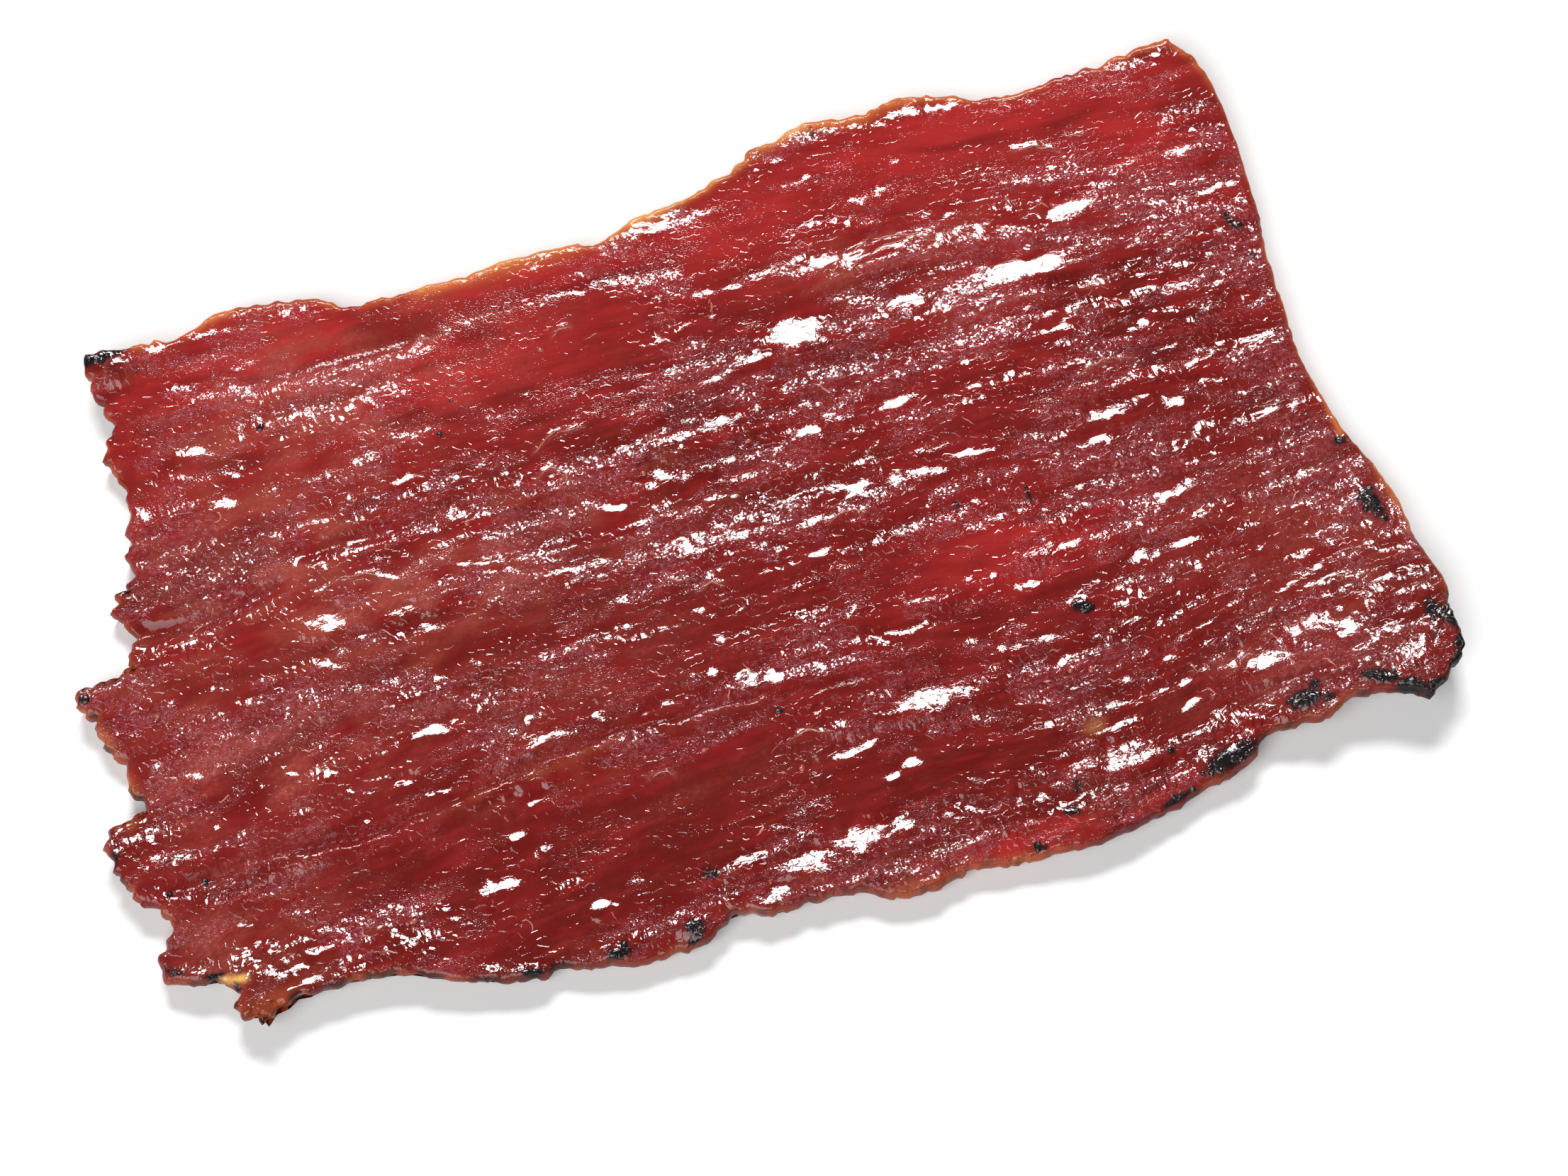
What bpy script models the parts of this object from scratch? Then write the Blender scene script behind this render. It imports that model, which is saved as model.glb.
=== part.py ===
"""Beef jerky strip: one broad, thin, glazed and grilled slice of meat.

The slice lies flat with its grain along X. Its outline, its grain ridges, its
long fold, its creases, its lifted corners and its charred lumps are all worked
out below from named sizes. Lengths are metres in the named sizes and
millimetres in the outline and relief tables.
"""
import math

import bmesh
import bpy
from mathutils import Vector, noise
from mathutils.geometry import delaunay_2d_cdt

# Driving dimensions
LENGTH = 0.1645
WIDTH = 0.1047
THICKNESS = 0.0029
LEAST_THICKNESS = 0.0015
EDGE_ROUND = 0.0008
WALL_SHARE = 0.40
OUTLINE_STEP = 0.0015
TOP_STEP_X = 0.0036
TOP_STEP_Y = 0.0018
UNDER_STEP = 0.0058
GRAIN_HEIGHT = 0.00032
GRAIN_PITCH = 0.0052
FOLD_STEP = 0.00055
FOLD_RUN = 0.0090
SAG = 0.0004

MM = 0.001

# How far the grain turns, bends and draws together, by place on the slice in millimetres
GRAIN_TURN = 0.012
GRAIN_BEND = 0.0005
GRAIN_FAN = 0.0015

# Where the grain dips towards the near side: x, y, reach along and across, and depth
GRAIN_DIP = (35.0, -30.0, 22.0, 18.0, 3.2)

# Waves of smooth noise: height or share of it, length along, length across, layer
SAG_WAVES = ((0.55, 34.0, 26.0, 3.7), (0.25, 11.0, 9.0, 8.1))
SWELL_WAVE = (0.42, 19.0, 14.0, 6.2)
GRAIN_WAVES = ((1.0, 46.0, 0.62, 1.3), (0.7, 12.0, 0.85, 5.9))
GRAIN_WANDER = (0.9, 23.0, 17.0, 9.6)

# The four sides of the outline, in millimetres from its middle
FAR_SIDE = (
    (-69.3, 48.6), (-67.5, 49.2), (-63.0, 48.4), (-60.2, 48.6), (-57.2, 48.2),
    (-54.7, 49.0), (-51.5, 50.2), (-46.0, 50.0), (-42.1, 49.3), (-38.3, 48.0),
    (-35.8, 46.1), (-31.8, 45.7), (-20.0, 45.5), (-8.6, 45.6), (-1.9, 44.5),
    (3.2, 46.3), (9.9, 46.8), (13.7, 47.9), (18.6, 49.4), (20.6, 50.9),
    (24.5, 51.3), (28.0, 52.3), (36.2, 51.1), (40.4, 52.1), (45.7, 51.2),
    (49.2, 49.8), (52.8, 48.2), (57.5, 47.8), (62.6, 48.2), (68.1, 48.3),
    (77.9, 48.8),
)
RIGHT_SIDE = (
    (79.0, 47.6), (80.9, 44.4), (81.8, 39.8), (81.5, 31.2), (80.4, 20.9),
    (79.1, 14.6), (78.0, 4.8), (77.5, 0.0), (78.7, -10.9), (80.3, -16.4),
    (81.3, -21.3), (81.4, -25.4), (81.1, -28.4), (82.1, -35.4), (81.0, -38.7),
    (81.1, -41.0), (79.8, -45.0),
)
NEAR_SIDE = (
    (76.8, -47.2), (74.5, -48.5), (71.7, -47.1), (69.8, -46.1), (65.0, -45.6),
    (63.0, -46.4), (60.2, -46.7), (54.3, -46.1), (52.2, -47.8), (49.6, -49.2),
    (45.1, -50.0), (38.2, -51.6), (30.3, -52.4), (24.1, -51.9), (19.8, -51.5),
    (15.0, -50.3), (11.5, -51.2), (4.4, -50.7), (1.3, -48.7), (-5.8, -48.1),
    (-9.8, -48.0), (-14.1, -46.7), (-18.0, -48.7), (-25.1, -48.7),
    (-29.9, -47.7), (-35.4, -46.2), (-37.8, -46.7), (-43.7, -45.2),
    (-50.4, -42.5), (-52.7, -41.1), (-59.4, -40.0), (-66.9, -39.9),
    (-69.8, -41.5),
)
LEFT_SIDE = (
    (-71.2, -41.2), (-73.3, -38.5), (-72.3, -37.4), (-72.2, -36.3),
    (-76.7, -34.1), (-79.6, -32.4), (-79.9, -29.4), (-77.4, -26.7),
    (-79.0, -24.1), (-81.3, -21.0), (-82.4, -15.0), (-80.6, -12.6),
    (-77.4, -11.8), (-77.2, -10.7), (-78.2, -8.7), (-77.9, -4.9),
    (-79.5, -3.2), (-79.8, 0.9), (-81.0, 2.9), (-80.9, 5.0), (-77.9, 5.7),
    (-74.8, 6.0), (-74.1, 8.2), (-72.4, 10.9), (-74.2, 13.0), (-74.0, 16.2),
    (-72.0, 17.0), (-71.0, 20.2), (-69.6, 24.9), (-69.3, 31.6), (-70.5, 34.3),
    (-69.9, 36.4), (-68.3, 38.3), (-69.1, 41.8), (-69.3, 46.1),
)

# Creases pressed into the top: path, half width and depth in millimetres
CREASES = (
    (((-71.0, 10.3), (-64.0, 9.7), (-54.0, 11.4)), 1.3, 0.75),
    (((-70.5, 20.3), (-60.0, 20.6)), 1.1, 0.35),
    (((-76.5, -22.2), (-69.0, -22.8)), 1.0, 0.55),
    (((-50.0, 39.2), (-28.0, 38.6)), 1.6, 0.45),
    (((-50.0, 14.6), (-34.0, 14.0)), 1.2, 0.35),
    (((28.0, 33.2), (36.0, 33.1)), 1.1, 0.40),
    (((52.0, -41.5), (60.0, -41.0), (66.0, -41.6)), 1.5, 0.45),
)

# The long fold, where one sheet of muscle laps over the next
FOLD_PATH = (
    (-75.0, -22.3), (-67.0, -21.4), (-60.0, -22.3), (-52.0, -23.6),
    (-45.0, -22.3), (-36.0, -22.0), (-28.0, -20.8), (-18.0, -20.0),
    (-8.0, -21.0), (4.0, -22.6), (16.0, -24.1),
)
FOLD_DIP = 1.4
FOLD_CREST = 0.9

# Charred lumps: x, y, half length, half width, turn in degrees, height
CHAR_LUMPS = (
    (48.8, -47.3, 3.8, 1.5, 10.0, 0.85), (59.8, -43.8, 2.0, 1.2, 0.0, 0.45),
    (68.6, -44.2, 2.6, 1.0, -28.0, 0.60), (73.4, -46.0, 2.4, 1.3, -20.0, 0.45),
    (78.2, -42.4, 3.2, 1.7, 58.0, 0.55), (77.8, -22.3, 2.7, 0.9, -80.0, 0.45),
    (76.4, 20.0, 1.9, 0.8, -65.0, 0.30), (38.6, -23.2, 1.0, 0.9, 0.0, 0.40),
    (-19.2, -46.9, 1.6, 1.2, 0.0, 0.60), (-28.9, -46.8, 1.9, 0.9, -8.0, 0.45),
    (-39.0, -45.7, 1.8, 0.7, -18.0, 0.35), (-65.4, 45.6, 2.0, 1.6, 0.0, 0.55),
    (-77.2, -33.0, 2.4, 0.8, -32.0, 0.35), (28.0, -47.8, 1.6, 0.9, -20.0, 0.35),
)

# Places where the sheet stands off the plate: x, y, reach, rise
LIFTS = (
    (82.0, -46.0, 17.0, 3.6), (62.0, -50.0, 9.0, 1.7), (-72.0, 52.0, 17.0, 2.3),
    (-73.0, -42.0, 11.0, 1.9), (-83.0, -17.0, 9.0, 1.4), (-81.5, 4.0, 7.0, 1.2),
    (83.0, 46.0, 16.0, 1.3), (31.0, 55.0, 18.0, 1.2), (-52.0, -46.0, 13.0, 1.5),
    (84.0, 4.0, 13.0, 1.0), (-16.0, -52.0, 11.0, 1.0), (30.0, -57.0, 13.0, 1.0),
)

# Middle and rings of places on each charred lump: share of its half sizes, and how many
LUMP_RINGS = ((0.0, 1), (0.62, 6), (1.35, 8))

# Least gaps between places in millimetres: to a neighbour, and to the outline
TOP_RING_GAPS = (0.7, 0.5)
LUMP_GAPS = (0.55, 1.1)
TOP_GAPS = (1.1, 1.5)
UNDER_RING_GAPS = (1.0, 0.5)
UNDER_GAPS = (2.5, 2.4)
RING_KEEP_SHARE = 0.86
OUTLINE_CELL = 6.0
PLACE_CELL = 4.0

GLAZED_MEAT_COLOUR = (0.262, 0.030, 0.027, 1.0)
GLAZED_MEAT_ROUGHNESS = 0.18


def spline_loop(points, step):
    """Follow a closed Catmull-Rom curve through points at an even step."""
    count = len(points)
    curve = []
    for i in range(count):
        p0, p1 = Vector(points[i - 1]), Vector(points[i])
        p2, p3 = Vector(points[(i + 1) % count]), Vector(points[(i + 2) % count])
        pieces = max(1, round((p2 - p1).length / step))
        for j in range(pieces):
            t = j / pieces
            a = 2.0 * p1
            b = (p2 - p0) * t
            c = (2.0 * p0 - 5.0 * p1 + 4.0 * p2 - p3) * t * t
            d = (3.0 * p1 - p0 - 3.0 * p2 + p3) * t * t * t
            curve.append(0.5 * (a + b + c + d))
    return curve


def path_distance(x, y, path):
    """Distance to a path, which side of it the place is on, and share along."""
    best = (1e9, 0.0, 0.0)
    last = len(path) - 1
    for i in range(last):
        ax, ay = path[i]
        bx, by = path[i + 1]
        ux, uy = bx - ax, by - ay
        t = ((x - ax) * ux + (y - ay) * uy) / (ux * ux + uy * uy)
        t = min(1.0, max(0.0, t))
        dx, dy = x - ax - t * ux, y - ay - t * uy
        d = math.hypot(dx, dy)
        if d < best[0]:
            best = (d, ux * dy - uy * dx, (i + t) / last)
    return best


def bell(d, width):
    """A smooth bump of height one that has faded out by twice its width."""
    return math.exp(-(d / width) ** 2)


def wave(x, y, height, along, across, layer):
    """Smooth noise of a height and of a length along and across."""
    return height * noise.noise(Vector((x / along, y / across, layer)))


def lift(x, y):
    """Height of the underside over the plate, nought where it lies flat."""
    rise = sum(wave(x, y, *sizes) for sizes in SAG_WAVES) - SAG / MM
    for cx, cy, reach, height in LIFTS:
        rise += height * bell(math.hypot(x - cx, y - cy), reach)
    return max(0.0, rise)


def grain_row(x, y):
    """Place across the grain, which bends, dips and wanders a little."""
    dip_x, dip_y, along, across, depth = GRAIN_DIP
    dip = depth * bell(math.hypot((x - dip_x) / along, (y - dip_y) / across), 1.0)
    bent = y + x * (GRAIN_TURN + GRAIN_BEND * x + GRAIN_FAN * y)
    return bent + dip + wave(x, y, *GRAIN_WANDER)


def grain(x, y):
    """Ridges of the muscle, long along X and short across it."""
    row = grain_row(x, y) * MM / GRAIN_PITCH
    return sum(wave(x, row, *sizes) for sizes in GRAIN_WAVES) * GRAIN_HEIGHT / MM


def fold(x, y):
    """Step along the long fold, highest just past its path."""
    d, side, along = path_distance(x, y, FOLD_PATH)
    ends = min(1.0, 6.0 * along, 6.0 * (1.0 - along))
    if side > 0.0:
        return -0.5 * FOLD_STEP / MM * bell(d, FOLD_DIP) * ends
    return FOLD_STEP / MM * bell(d - FOLD_CREST, 0.28 * FOLD_RUN / MM) * ends


def creases(x, y):
    """Depth of the pressed creases."""
    depth = 0.0
    for path, half_width, deep in CREASES:
        depth += deep * bell(path_distance(x, y, path)[0], half_width)
    return depth


def lumps(x, y):
    """Height of the charred lumps."""
    height = 0.0
    for cx, cy, half_long, half_wide, turn, tall in CHAR_LUMPS:
        c, s = math.cos(math.radians(turn)), math.sin(math.radians(turn))
        a = ((x - cx) * c + (y - cy) * s) / half_long
        b = ((y - cy) * c - (x - cx) * s) / half_wide
        height = max(height, tall * math.exp(-(a * a + b * b) ** 1.5))
    return height


def top_height(x, y):
    """Height of the top, away from the rounded edge."""
    swell = wave(x, y, *SWELL_WAVE)
    sheet = THICKNESS / MM + swell + grain(x, y) + fold(x, y) - creases(x, y)
    return lift(x, y) + max(LEAST_THICKNESS / MM, sheet) + lumps(x, y)


def lattice(step_x, step_y, half_x, half_y):
    """Staggered rows of places that fill the box around the outline."""
    places = []
    rows = int(2.0 * half_y / step_y) + 1
    columns = int(2.0 * half_x / step_x) + 2
    for j in range(rows):
        y = -half_y + j * step_y
        shift = 0.5 * step_x * (j % 2)
        for i in range(columns):
            x = -half_x - shift + i * step_x
            places.append(Vector((x, y)))
    return places


class Outline:
    """The closed outline, with quick distance and inside tests."""

    def __init__(self, points):
        self.points = points
        self.cell = OUTLINE_CELL
        self.grid = {}
        for i, p in enumerate(points):
            key = (math.floor(p.x / self.cell), math.floor(p.y / self.cell))
            self.grid.setdefault(key, []).append(i)

    def distance(self, q):
        """Distance from a place to the outline, at most one cell's width."""
        kx, ky = math.floor(q.x / self.cell), math.floor(q.y / self.cell)
        best = self.cell
        for a in (kx - 1, kx, kx + 1):
            for b in (ky - 1, ky, ky + 1):
                for i in self.grid.get((a, b), ()):
                    best = min(best, self.to_edge(q, i))
        return best

    def to_edge(self, q, i):
        """Distance from a place to the two outline edges that meet at i."""
        nearest = 1e9
        here = self.points[i]
        for other in (self.points[i - 1], self.points[(i + 1) % len(self.points)]):
            run = other - here
            t = min(1.0, max(0.0, (q - here).dot(run) / run.length_squared))
            nearest = min(nearest, (q - here - t * run).length)
        return nearest

    def holds(self, q):
        """Whether a place is inside the outline."""
        inside = False
        a = self.points[-1]
        for b in self.points:
            if (a.y > q.y) != (b.y > q.y):
                if q.x < (b.x - a.x) * (q.y - a.y) / (b.y - a.y) + a.x:
                    inside = not inside
            a = b
        return inside

    def inset(self, reach):
        """The outline moved inward, without the places that come too close."""
        moved = []
        count = len(self.points)
        for i in range(count):
            along = self.points[(i + 1) % count] - self.points[i - 1]
            inward = Vector((-along.y, along.x)).normalized()
            q = self.points[i] + reach * inward
            if self.holds(q) and self.distance(q) > RING_KEEP_SHARE * reach:
                moved.append(q)
        return moved


def lump_places():
    """A middle and two rings of places for each charred lump."""
    places = []
    for cx, cy, half_long, half_wide, turn, _ in CHAR_LUMPS:
        c, s = math.cos(math.radians(turn)), math.sin(math.radians(turn))
        for ring, count in LUMP_RINGS:
            for k in range(count):
                angle = 2.0 * math.pi * k / count
                a = ring * half_long * math.cos(angle)
                b = ring * half_wide * math.sin(angle)
                places.append(Vector((cx + a * c - b * s, cy + a * s + b * c)))
    return places


def spread(outline, groups):
    """Join groups of places, dropping any too near the outline or an earlier one."""
    kept = []
    grid = {}
    for places, gap, clear in groups:
        for q in places:
            if outline.distance(q) < clear or not outline.holds(q):
                continue
            key = (math.floor(q.x / PLACE_CELL), math.floor(q.y / PLACE_CELL))
            close = False
            for a in (-1, 0, 1):
                for b in (-1, 0, 1):
                    for p in grid.get((key[0] + a, key[1] + b), ()):
                        if (p - q).length < gap:
                            close = True
            if not close:
                kept.append(q)
                grid.setdefault(key, []).append(q)
    return kept


def triangles(outline, inner):
    """Join the outline and the inner places into triangles."""
    places = list(outline.points) + inner
    count = len(outline.points)
    rim = [(i, (i + 1) % count) for i in range(count)]
    found = delaunay_2d_cdt(places, rim, [], 1, 1e-5)
    return found[0], found[2], found[3]


def build_slice():
    """Build the closed solid of the slice."""
    loop = spline_loop(NEAR_SIDE + LEFT_SIDE + FAR_SIDE + RIGHT_SIDE, OUTLINE_STEP / MM)
    if sum(a.x * b.y - a.y * b.x for a, b in zip(loop, loop[1:] + loop[:1])) < 0.0:
        loop.reverse()
    outline = Outline(loop)
    reach = EDGE_ROUND / MM
    half_x, half_y = 500.0 * LENGTH, 500.0 * WIDTH

    ring = outline.inset(reach)
    top_lattice = lattice(TOP_STEP_X / MM, TOP_STEP_Y / MM, half_x, half_y)
    top_groups = ((ring, *TOP_RING_GAPS), (lump_places(), *LUMP_GAPS), (top_lattice, *TOP_GAPS))
    under_lattice = lattice(UNDER_STEP / MM, UNDER_STEP / MM, half_x, half_y)
    under_groups = ((ring, *UNDER_RING_GAPS), (under_lattice, *UNDER_GAPS))

    mesh = bmesh.new()
    walls = []
    for is_top, groups in ((True, top_groups), (False, under_groups)):
        inner = spread(outline, groups)
        places, faces, origin = triangles(outline, inner)
        verts = []
        rim = [None] * len(loop)
        for k, place in enumerate(places):
            x, y = place
            base = lift(x, y)
            full = top_height(x, y) - base
            on_rim = any(i < len(loop) for i in origin[k])
            if on_rim:
                share = 0.5 + (0.5 if is_top else -0.5) * WALL_SHARE
                z = base + full * share
            else:
                z = base + (full if is_top else 0.0)
            vert = mesh.verts.new((x * MM, y * MM, z * MM))
            verts.append(vert)
            for i in origin[k]:
                if i < len(loop):
                    rim[i] = vert
        for face in faces:
            order = [verts[i] for i in face]
            mesh.faces.new(order if is_top else order[::-1])
        walls.append(rim)

    upper, lower = walls
    count = len(loop)
    for i in range(count):
        j = (i + 1) % count
        mesh.faces.new((upper[i], lower[i], lower[j], upper[j]))
    bmesh.ops.triangulate(mesh, faces=[f for f in mesh.faces if len(f.verts) > 3])
    bmesh.ops.recalc_face_normals(mesh, faces=mesh.faces)

    low = Vector([min(v.co[i] for v in mesh.verts) for i in range(3)])
    high = Vector([max(v.co[i] for v in mesh.verts) for i in range(3)])
    middle = Vector((0.5 * (low.x + high.x), 0.5 * (low.y + high.y), low.z))
    bmesh.ops.translate(mesh, vec=-middle, verts=mesh.verts)
    for face in mesh.faces:
        face.smooth = True
    return mesh


def glazed_meat():
    """Dark red meat under a wet glaze."""
    material = bpy.data.materials.new("glazed_meat")
    material.use_nodes = True
    shader = material.node_tree.nodes["Principled BSDF"]
    shader.inputs["Base Color"].default_value = GLAZED_MEAT_COLOUR
    shader.inputs["Roughness"].default_value = GLAZED_MEAT_ROUGHNESS
    shader.inputs["Metallic"].default_value = 0.0
    return material


def main():
    """Clear the scene and add the slice."""
    for old in list(bpy.data.objects):
        bpy.data.objects.remove(old, do_unlink=True)
    mesh = build_slice()
    data = bpy.data.meshes.new("jerky_slice")
    mesh.to_mesh(data)
    mesh.free()
    data.materials.append(glazed_meat())
    slice_object = bpy.data.objects.new("jerky_slice", data)
    bpy.context.scene.collection.objects.link(slice_object)


main()
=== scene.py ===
"""Looks of one broad, thin slice of glazed and grilled meat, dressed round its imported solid.

Places on the slice are millimetres from its middle, with the grain along X. Meshes,
light and camera are metres.
"""

import logging
import math
from dataclasses import dataclass, replace
from enum import Enum
from typing import Sequence, Union

import bmesh
import bpy
import numpy as np
from mathutils import Matrix, Vector, kdtree, noise


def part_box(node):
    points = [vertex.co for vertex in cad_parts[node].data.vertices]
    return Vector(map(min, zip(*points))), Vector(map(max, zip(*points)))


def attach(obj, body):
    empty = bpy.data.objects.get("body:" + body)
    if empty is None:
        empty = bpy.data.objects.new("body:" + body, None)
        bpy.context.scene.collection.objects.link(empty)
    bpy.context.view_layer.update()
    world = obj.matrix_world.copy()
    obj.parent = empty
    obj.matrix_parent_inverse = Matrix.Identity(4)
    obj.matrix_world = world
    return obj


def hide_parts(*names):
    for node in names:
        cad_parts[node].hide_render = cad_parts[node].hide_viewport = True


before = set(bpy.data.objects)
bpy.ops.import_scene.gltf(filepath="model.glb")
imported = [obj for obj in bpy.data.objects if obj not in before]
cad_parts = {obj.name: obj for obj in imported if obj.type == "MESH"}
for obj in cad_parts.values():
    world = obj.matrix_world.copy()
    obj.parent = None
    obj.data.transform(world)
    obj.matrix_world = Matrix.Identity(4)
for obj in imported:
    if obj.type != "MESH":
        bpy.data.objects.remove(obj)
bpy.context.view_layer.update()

LOG = logging.getLogger("glazed_slice")
MM = 0.001
SLICE_NODE = "jerky_slice"
BODY = "root"

Array = np.ndarray
Place = tuple[float, float]
Triple = tuple[float, float, float]
Value = Union[bpy.types.NodeSocket, float, Triple]


@dataclass(frozen=True)
class Stroke:
    """A line drawn on the slice, with its half width and its height, depth or strength."""

    path: tuple[Place, ...]
    half_width: float
    amount: float


@dataclass(frozen=True)
class Spot:
    """An oval on the slice, with a height, depth or strength, turned by degrees."""

    x: float
    y: float
    half_long: float
    half_wide: float
    amount: float = 1.0
    turn: float = 0.0


@dataclass(frozen=True)
class Lift:
    """A place where the sheet stands off the plate."""

    x: float
    y: float
    reach: float
    rise: float


@dataclass(frozen=True)
class Waves:
    """Smooth noise, with its pitch along and across in millimetres, its layer and its height."""

    along: float
    across: float
    layer: float
    height: float = 1.0

    def at(self, x: Array, y: Array) -> Array:
        """Height of the waves at many places."""
        places = zip((x / self.along).tolist(), (y / self.across).tolist())
        return self.height * np.array([noise.noise((a, b, self.layer)) for a, b in places])


def spot_rows(*rows: tuple[float, ...]) -> tuple[Spot, ...]:
    """Spots from rows of X, Y, half length, half width, amount and turn."""
    return tuple(Spot(*row) for row in rows)


def stroke_rows(*rows: tuple) -> tuple[Stroke, ...]:
    """Strokes from rows of a half width, an amount and then the path's places."""
    return tuple(Stroke(tuple(path), half_width, amount) for half_width, amount, *path in rows)


# Outline, read round the slice: near side from the right, then up the left side
FAR_SIDE: tuple[Place, ...] = (
    (-69.3, 48.6), (-67.5, 49.2), (-63, 48.4), (-60.2, 48.6), (-57.2, 48.2), (-54.7, 49),
    (-51.5, 50.2), (-46, 50), (-42.1, 49.3), (-38.3, 48), (-35.8, 46.1), (-31.8, 45.7),
    (-20, 45.5), (-8.6, 45.6), (-1.9, 44.5), (3.2, 46.3), (9.9, 46.8), (13.7, 47.9),
    (18.6, 49.4), (20.6, 50.9), (24.5, 51.3), (28, 52.3), (36.2, 51.1), (40.4, 52.1),
    (45.7, 51.2), (49.2, 49.8), (52.8, 48.2), (57.5, 47.8), (62.6, 48.2), (68.1, 48.3),
    (77.9, 48.8),
)
RIGHT_SIDE: tuple[Place, ...] = (
    (79, 47.6), (80.9, 44.4), (81.8, 39.8), (81.5, 31.2), (80.4, 20.9), (79.1, 14.6),
    (78, 4.8), (77.5, 0), (78.7, -10.9), (80.3, -16.4), (81.3, -21.3), (81.4, -25.4),
    (81.1, -28.4), (82.1, -35.4), (81, -38.7), (81.1, -41), (79.8, -45),
)
NEAR_SIDE: tuple[Place, ...] = (
    (76.8, -47.2), (74.5, -48.5), (71.7, -47.1), (69.8, -46.1), (65, -45.6), (63, -46.4),
    (60.2, -46.7), (54.3, -46.1), (52.2, -47.8), (49.6, -49.2), (45.1, -50), (38.2, -51.6),
    (30.3, -52.4), (24.1, -51.9), (19.8, -51.5), (15, -50.3), (11.5, -51.2), (4.4, -50.7),
    (1.3, -48.7), (-5.8, -48.1), (-9.8, -48), (-14.1, -46.7), (-18, -48.7), (-25.1, -48.7),
    (-29.9, -47.7), (-35.4, -46.2), (-37.8, -46.7), (-43.7, -45.2), (-50.4, -42.5),
    (-52.7, -41.1), (-59.4, -40), (-66.9, -39.9), (-69.8, -41.5),
)
LEFT_SIDE: tuple[Place, ...] = (
    (-71.2, -41.2), (-73.3, -38.5), (-72.3, -37.4), (-72.2, -36.3), (-76.7, -34.1),
    (-79.6, -32.4), (-79.9, -29.4), (-77.4, -26.7), (-79, -24.1), (-81.3, -21), (-82.4, -15),
    (-80.6, -12.6), (-77.4, -11.8), (-77.2, -10.7), (-78.2, -8.7), (-77.9, -4.9),
    (-79.5, -3.2), (-79.8, 0.9), (-81, 2.9), (-80.9, 5), (-77.9, 5.7), (-74.8, 6),
    (-74.1, 8.2), (-72.4, 10.9), (-74.2, 13), (-74, 16.2), (-72, 17), (-71, 20.2),
    (-69.6, 24.9), (-69.3, 31.6), (-70.5, 34.3), (-69.9, 36.4), (-68.3, 38.3),
    (-69.1, 41.8), (-69.3, 46.1),
)

# How the grain turns, bends, draws together, wanders and dips towards the near side
GRAIN_TURN = 0.012
GRAIN_BEND = 0.0005
GRAIN_FAN = 0.0015
GRAIN_WANDER = Waves(23.0, 17.0, 9.6, 0.9)
GRAIN_DIP = Spot(35, -30, 22, 18, 3.2)

# The long fold, where one sheet of muscle laps over the next
FOLD_PATH: tuple[Place, ...] = (
    (-75, -22.3), (-67, -21.4), (-60, -22.3), (-52, -23.6), (-45, -22.3), (-36, -22),
    (-28, -20.8), (-18, -20), (-8, -21), (4, -22.6), (16, -24.1),
)
FOLD_LINE = Stroke(FOLD_PATH, 0.5, 0.42)

CREASES = stroke_rows(
    (1.3, 0.75, (-71, 10.3), (-64, 9.7), (-54, 11.4)),
    (1.1, 0.35, (-70.5, 20.3), (-60, 20.6)),
    (1.0, 0.55, (-76.5, -22.2), (-69, -22.8)),
    (1.6, 0.45, (-50, 39.2), (-28, 38.6)),
    (1.2, 0.35, (-50, 14.6), (-34, 14)),
    (1.1, 0.40, (28, 33.2), (36, 33.1)),
    (1.5, 0.45, (52, -41.5), (60, -41), (66, -41.6)),
)
CHAR_LUMPS = spot_rows(
    (48.8, -47.3, 3.8, 1.5, 0.85, 10), (59.8, -43.8, 2, 1.2, 0.45), (68.6, -44.2, 2.6, 1, 0.6, -28),
    (73.4, -46, 2.4, 1.3, 0.45, -20), (78.2, -42.4, 3.2, 1.7, 0.55, 58),
    (77.8, -22.3, 2.7, 0.9, 0.45, -80), (76.4, 20, 1.9, 0.8, 0.3, -65), (38.6, -23.2, 1, 0.9, 0.4),
    (-19.2, -46.9, 1.6, 1.2, 0.6), (-28.9, -46.8, 1.9, 0.9, 0.45, -8),
    (-39, -45.7, 1.8, 0.7, 0.35, -18), (-65.4, 45.6, 2, 1.6, 0.55),
    (-77.2, -33, 2.4, 0.8, 0.35, -32), (28, -47.8, 1.6, 0.9, 0.35, -20),
)
LIFTS = (
    Lift(82, -46, 17, 3.6), Lift(62, -50, 9, 1.7), Lift(-72, 52, 17, 2.3), Lift(-73, -42, 11, 1.9),
    Lift(-83, -17, 9, 1.4), Lift(-81.5, 4, 7, 1.2), Lift(83, 46, 16, 1.3), Lift(31, 55, 18, 1.2),
    Lift(-52, -46, 13, 1.5), Lift(84, 4, 13, 1), Lift(-16, -52, 11, 1), Lift(30, -57, 13, 1),
)

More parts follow.
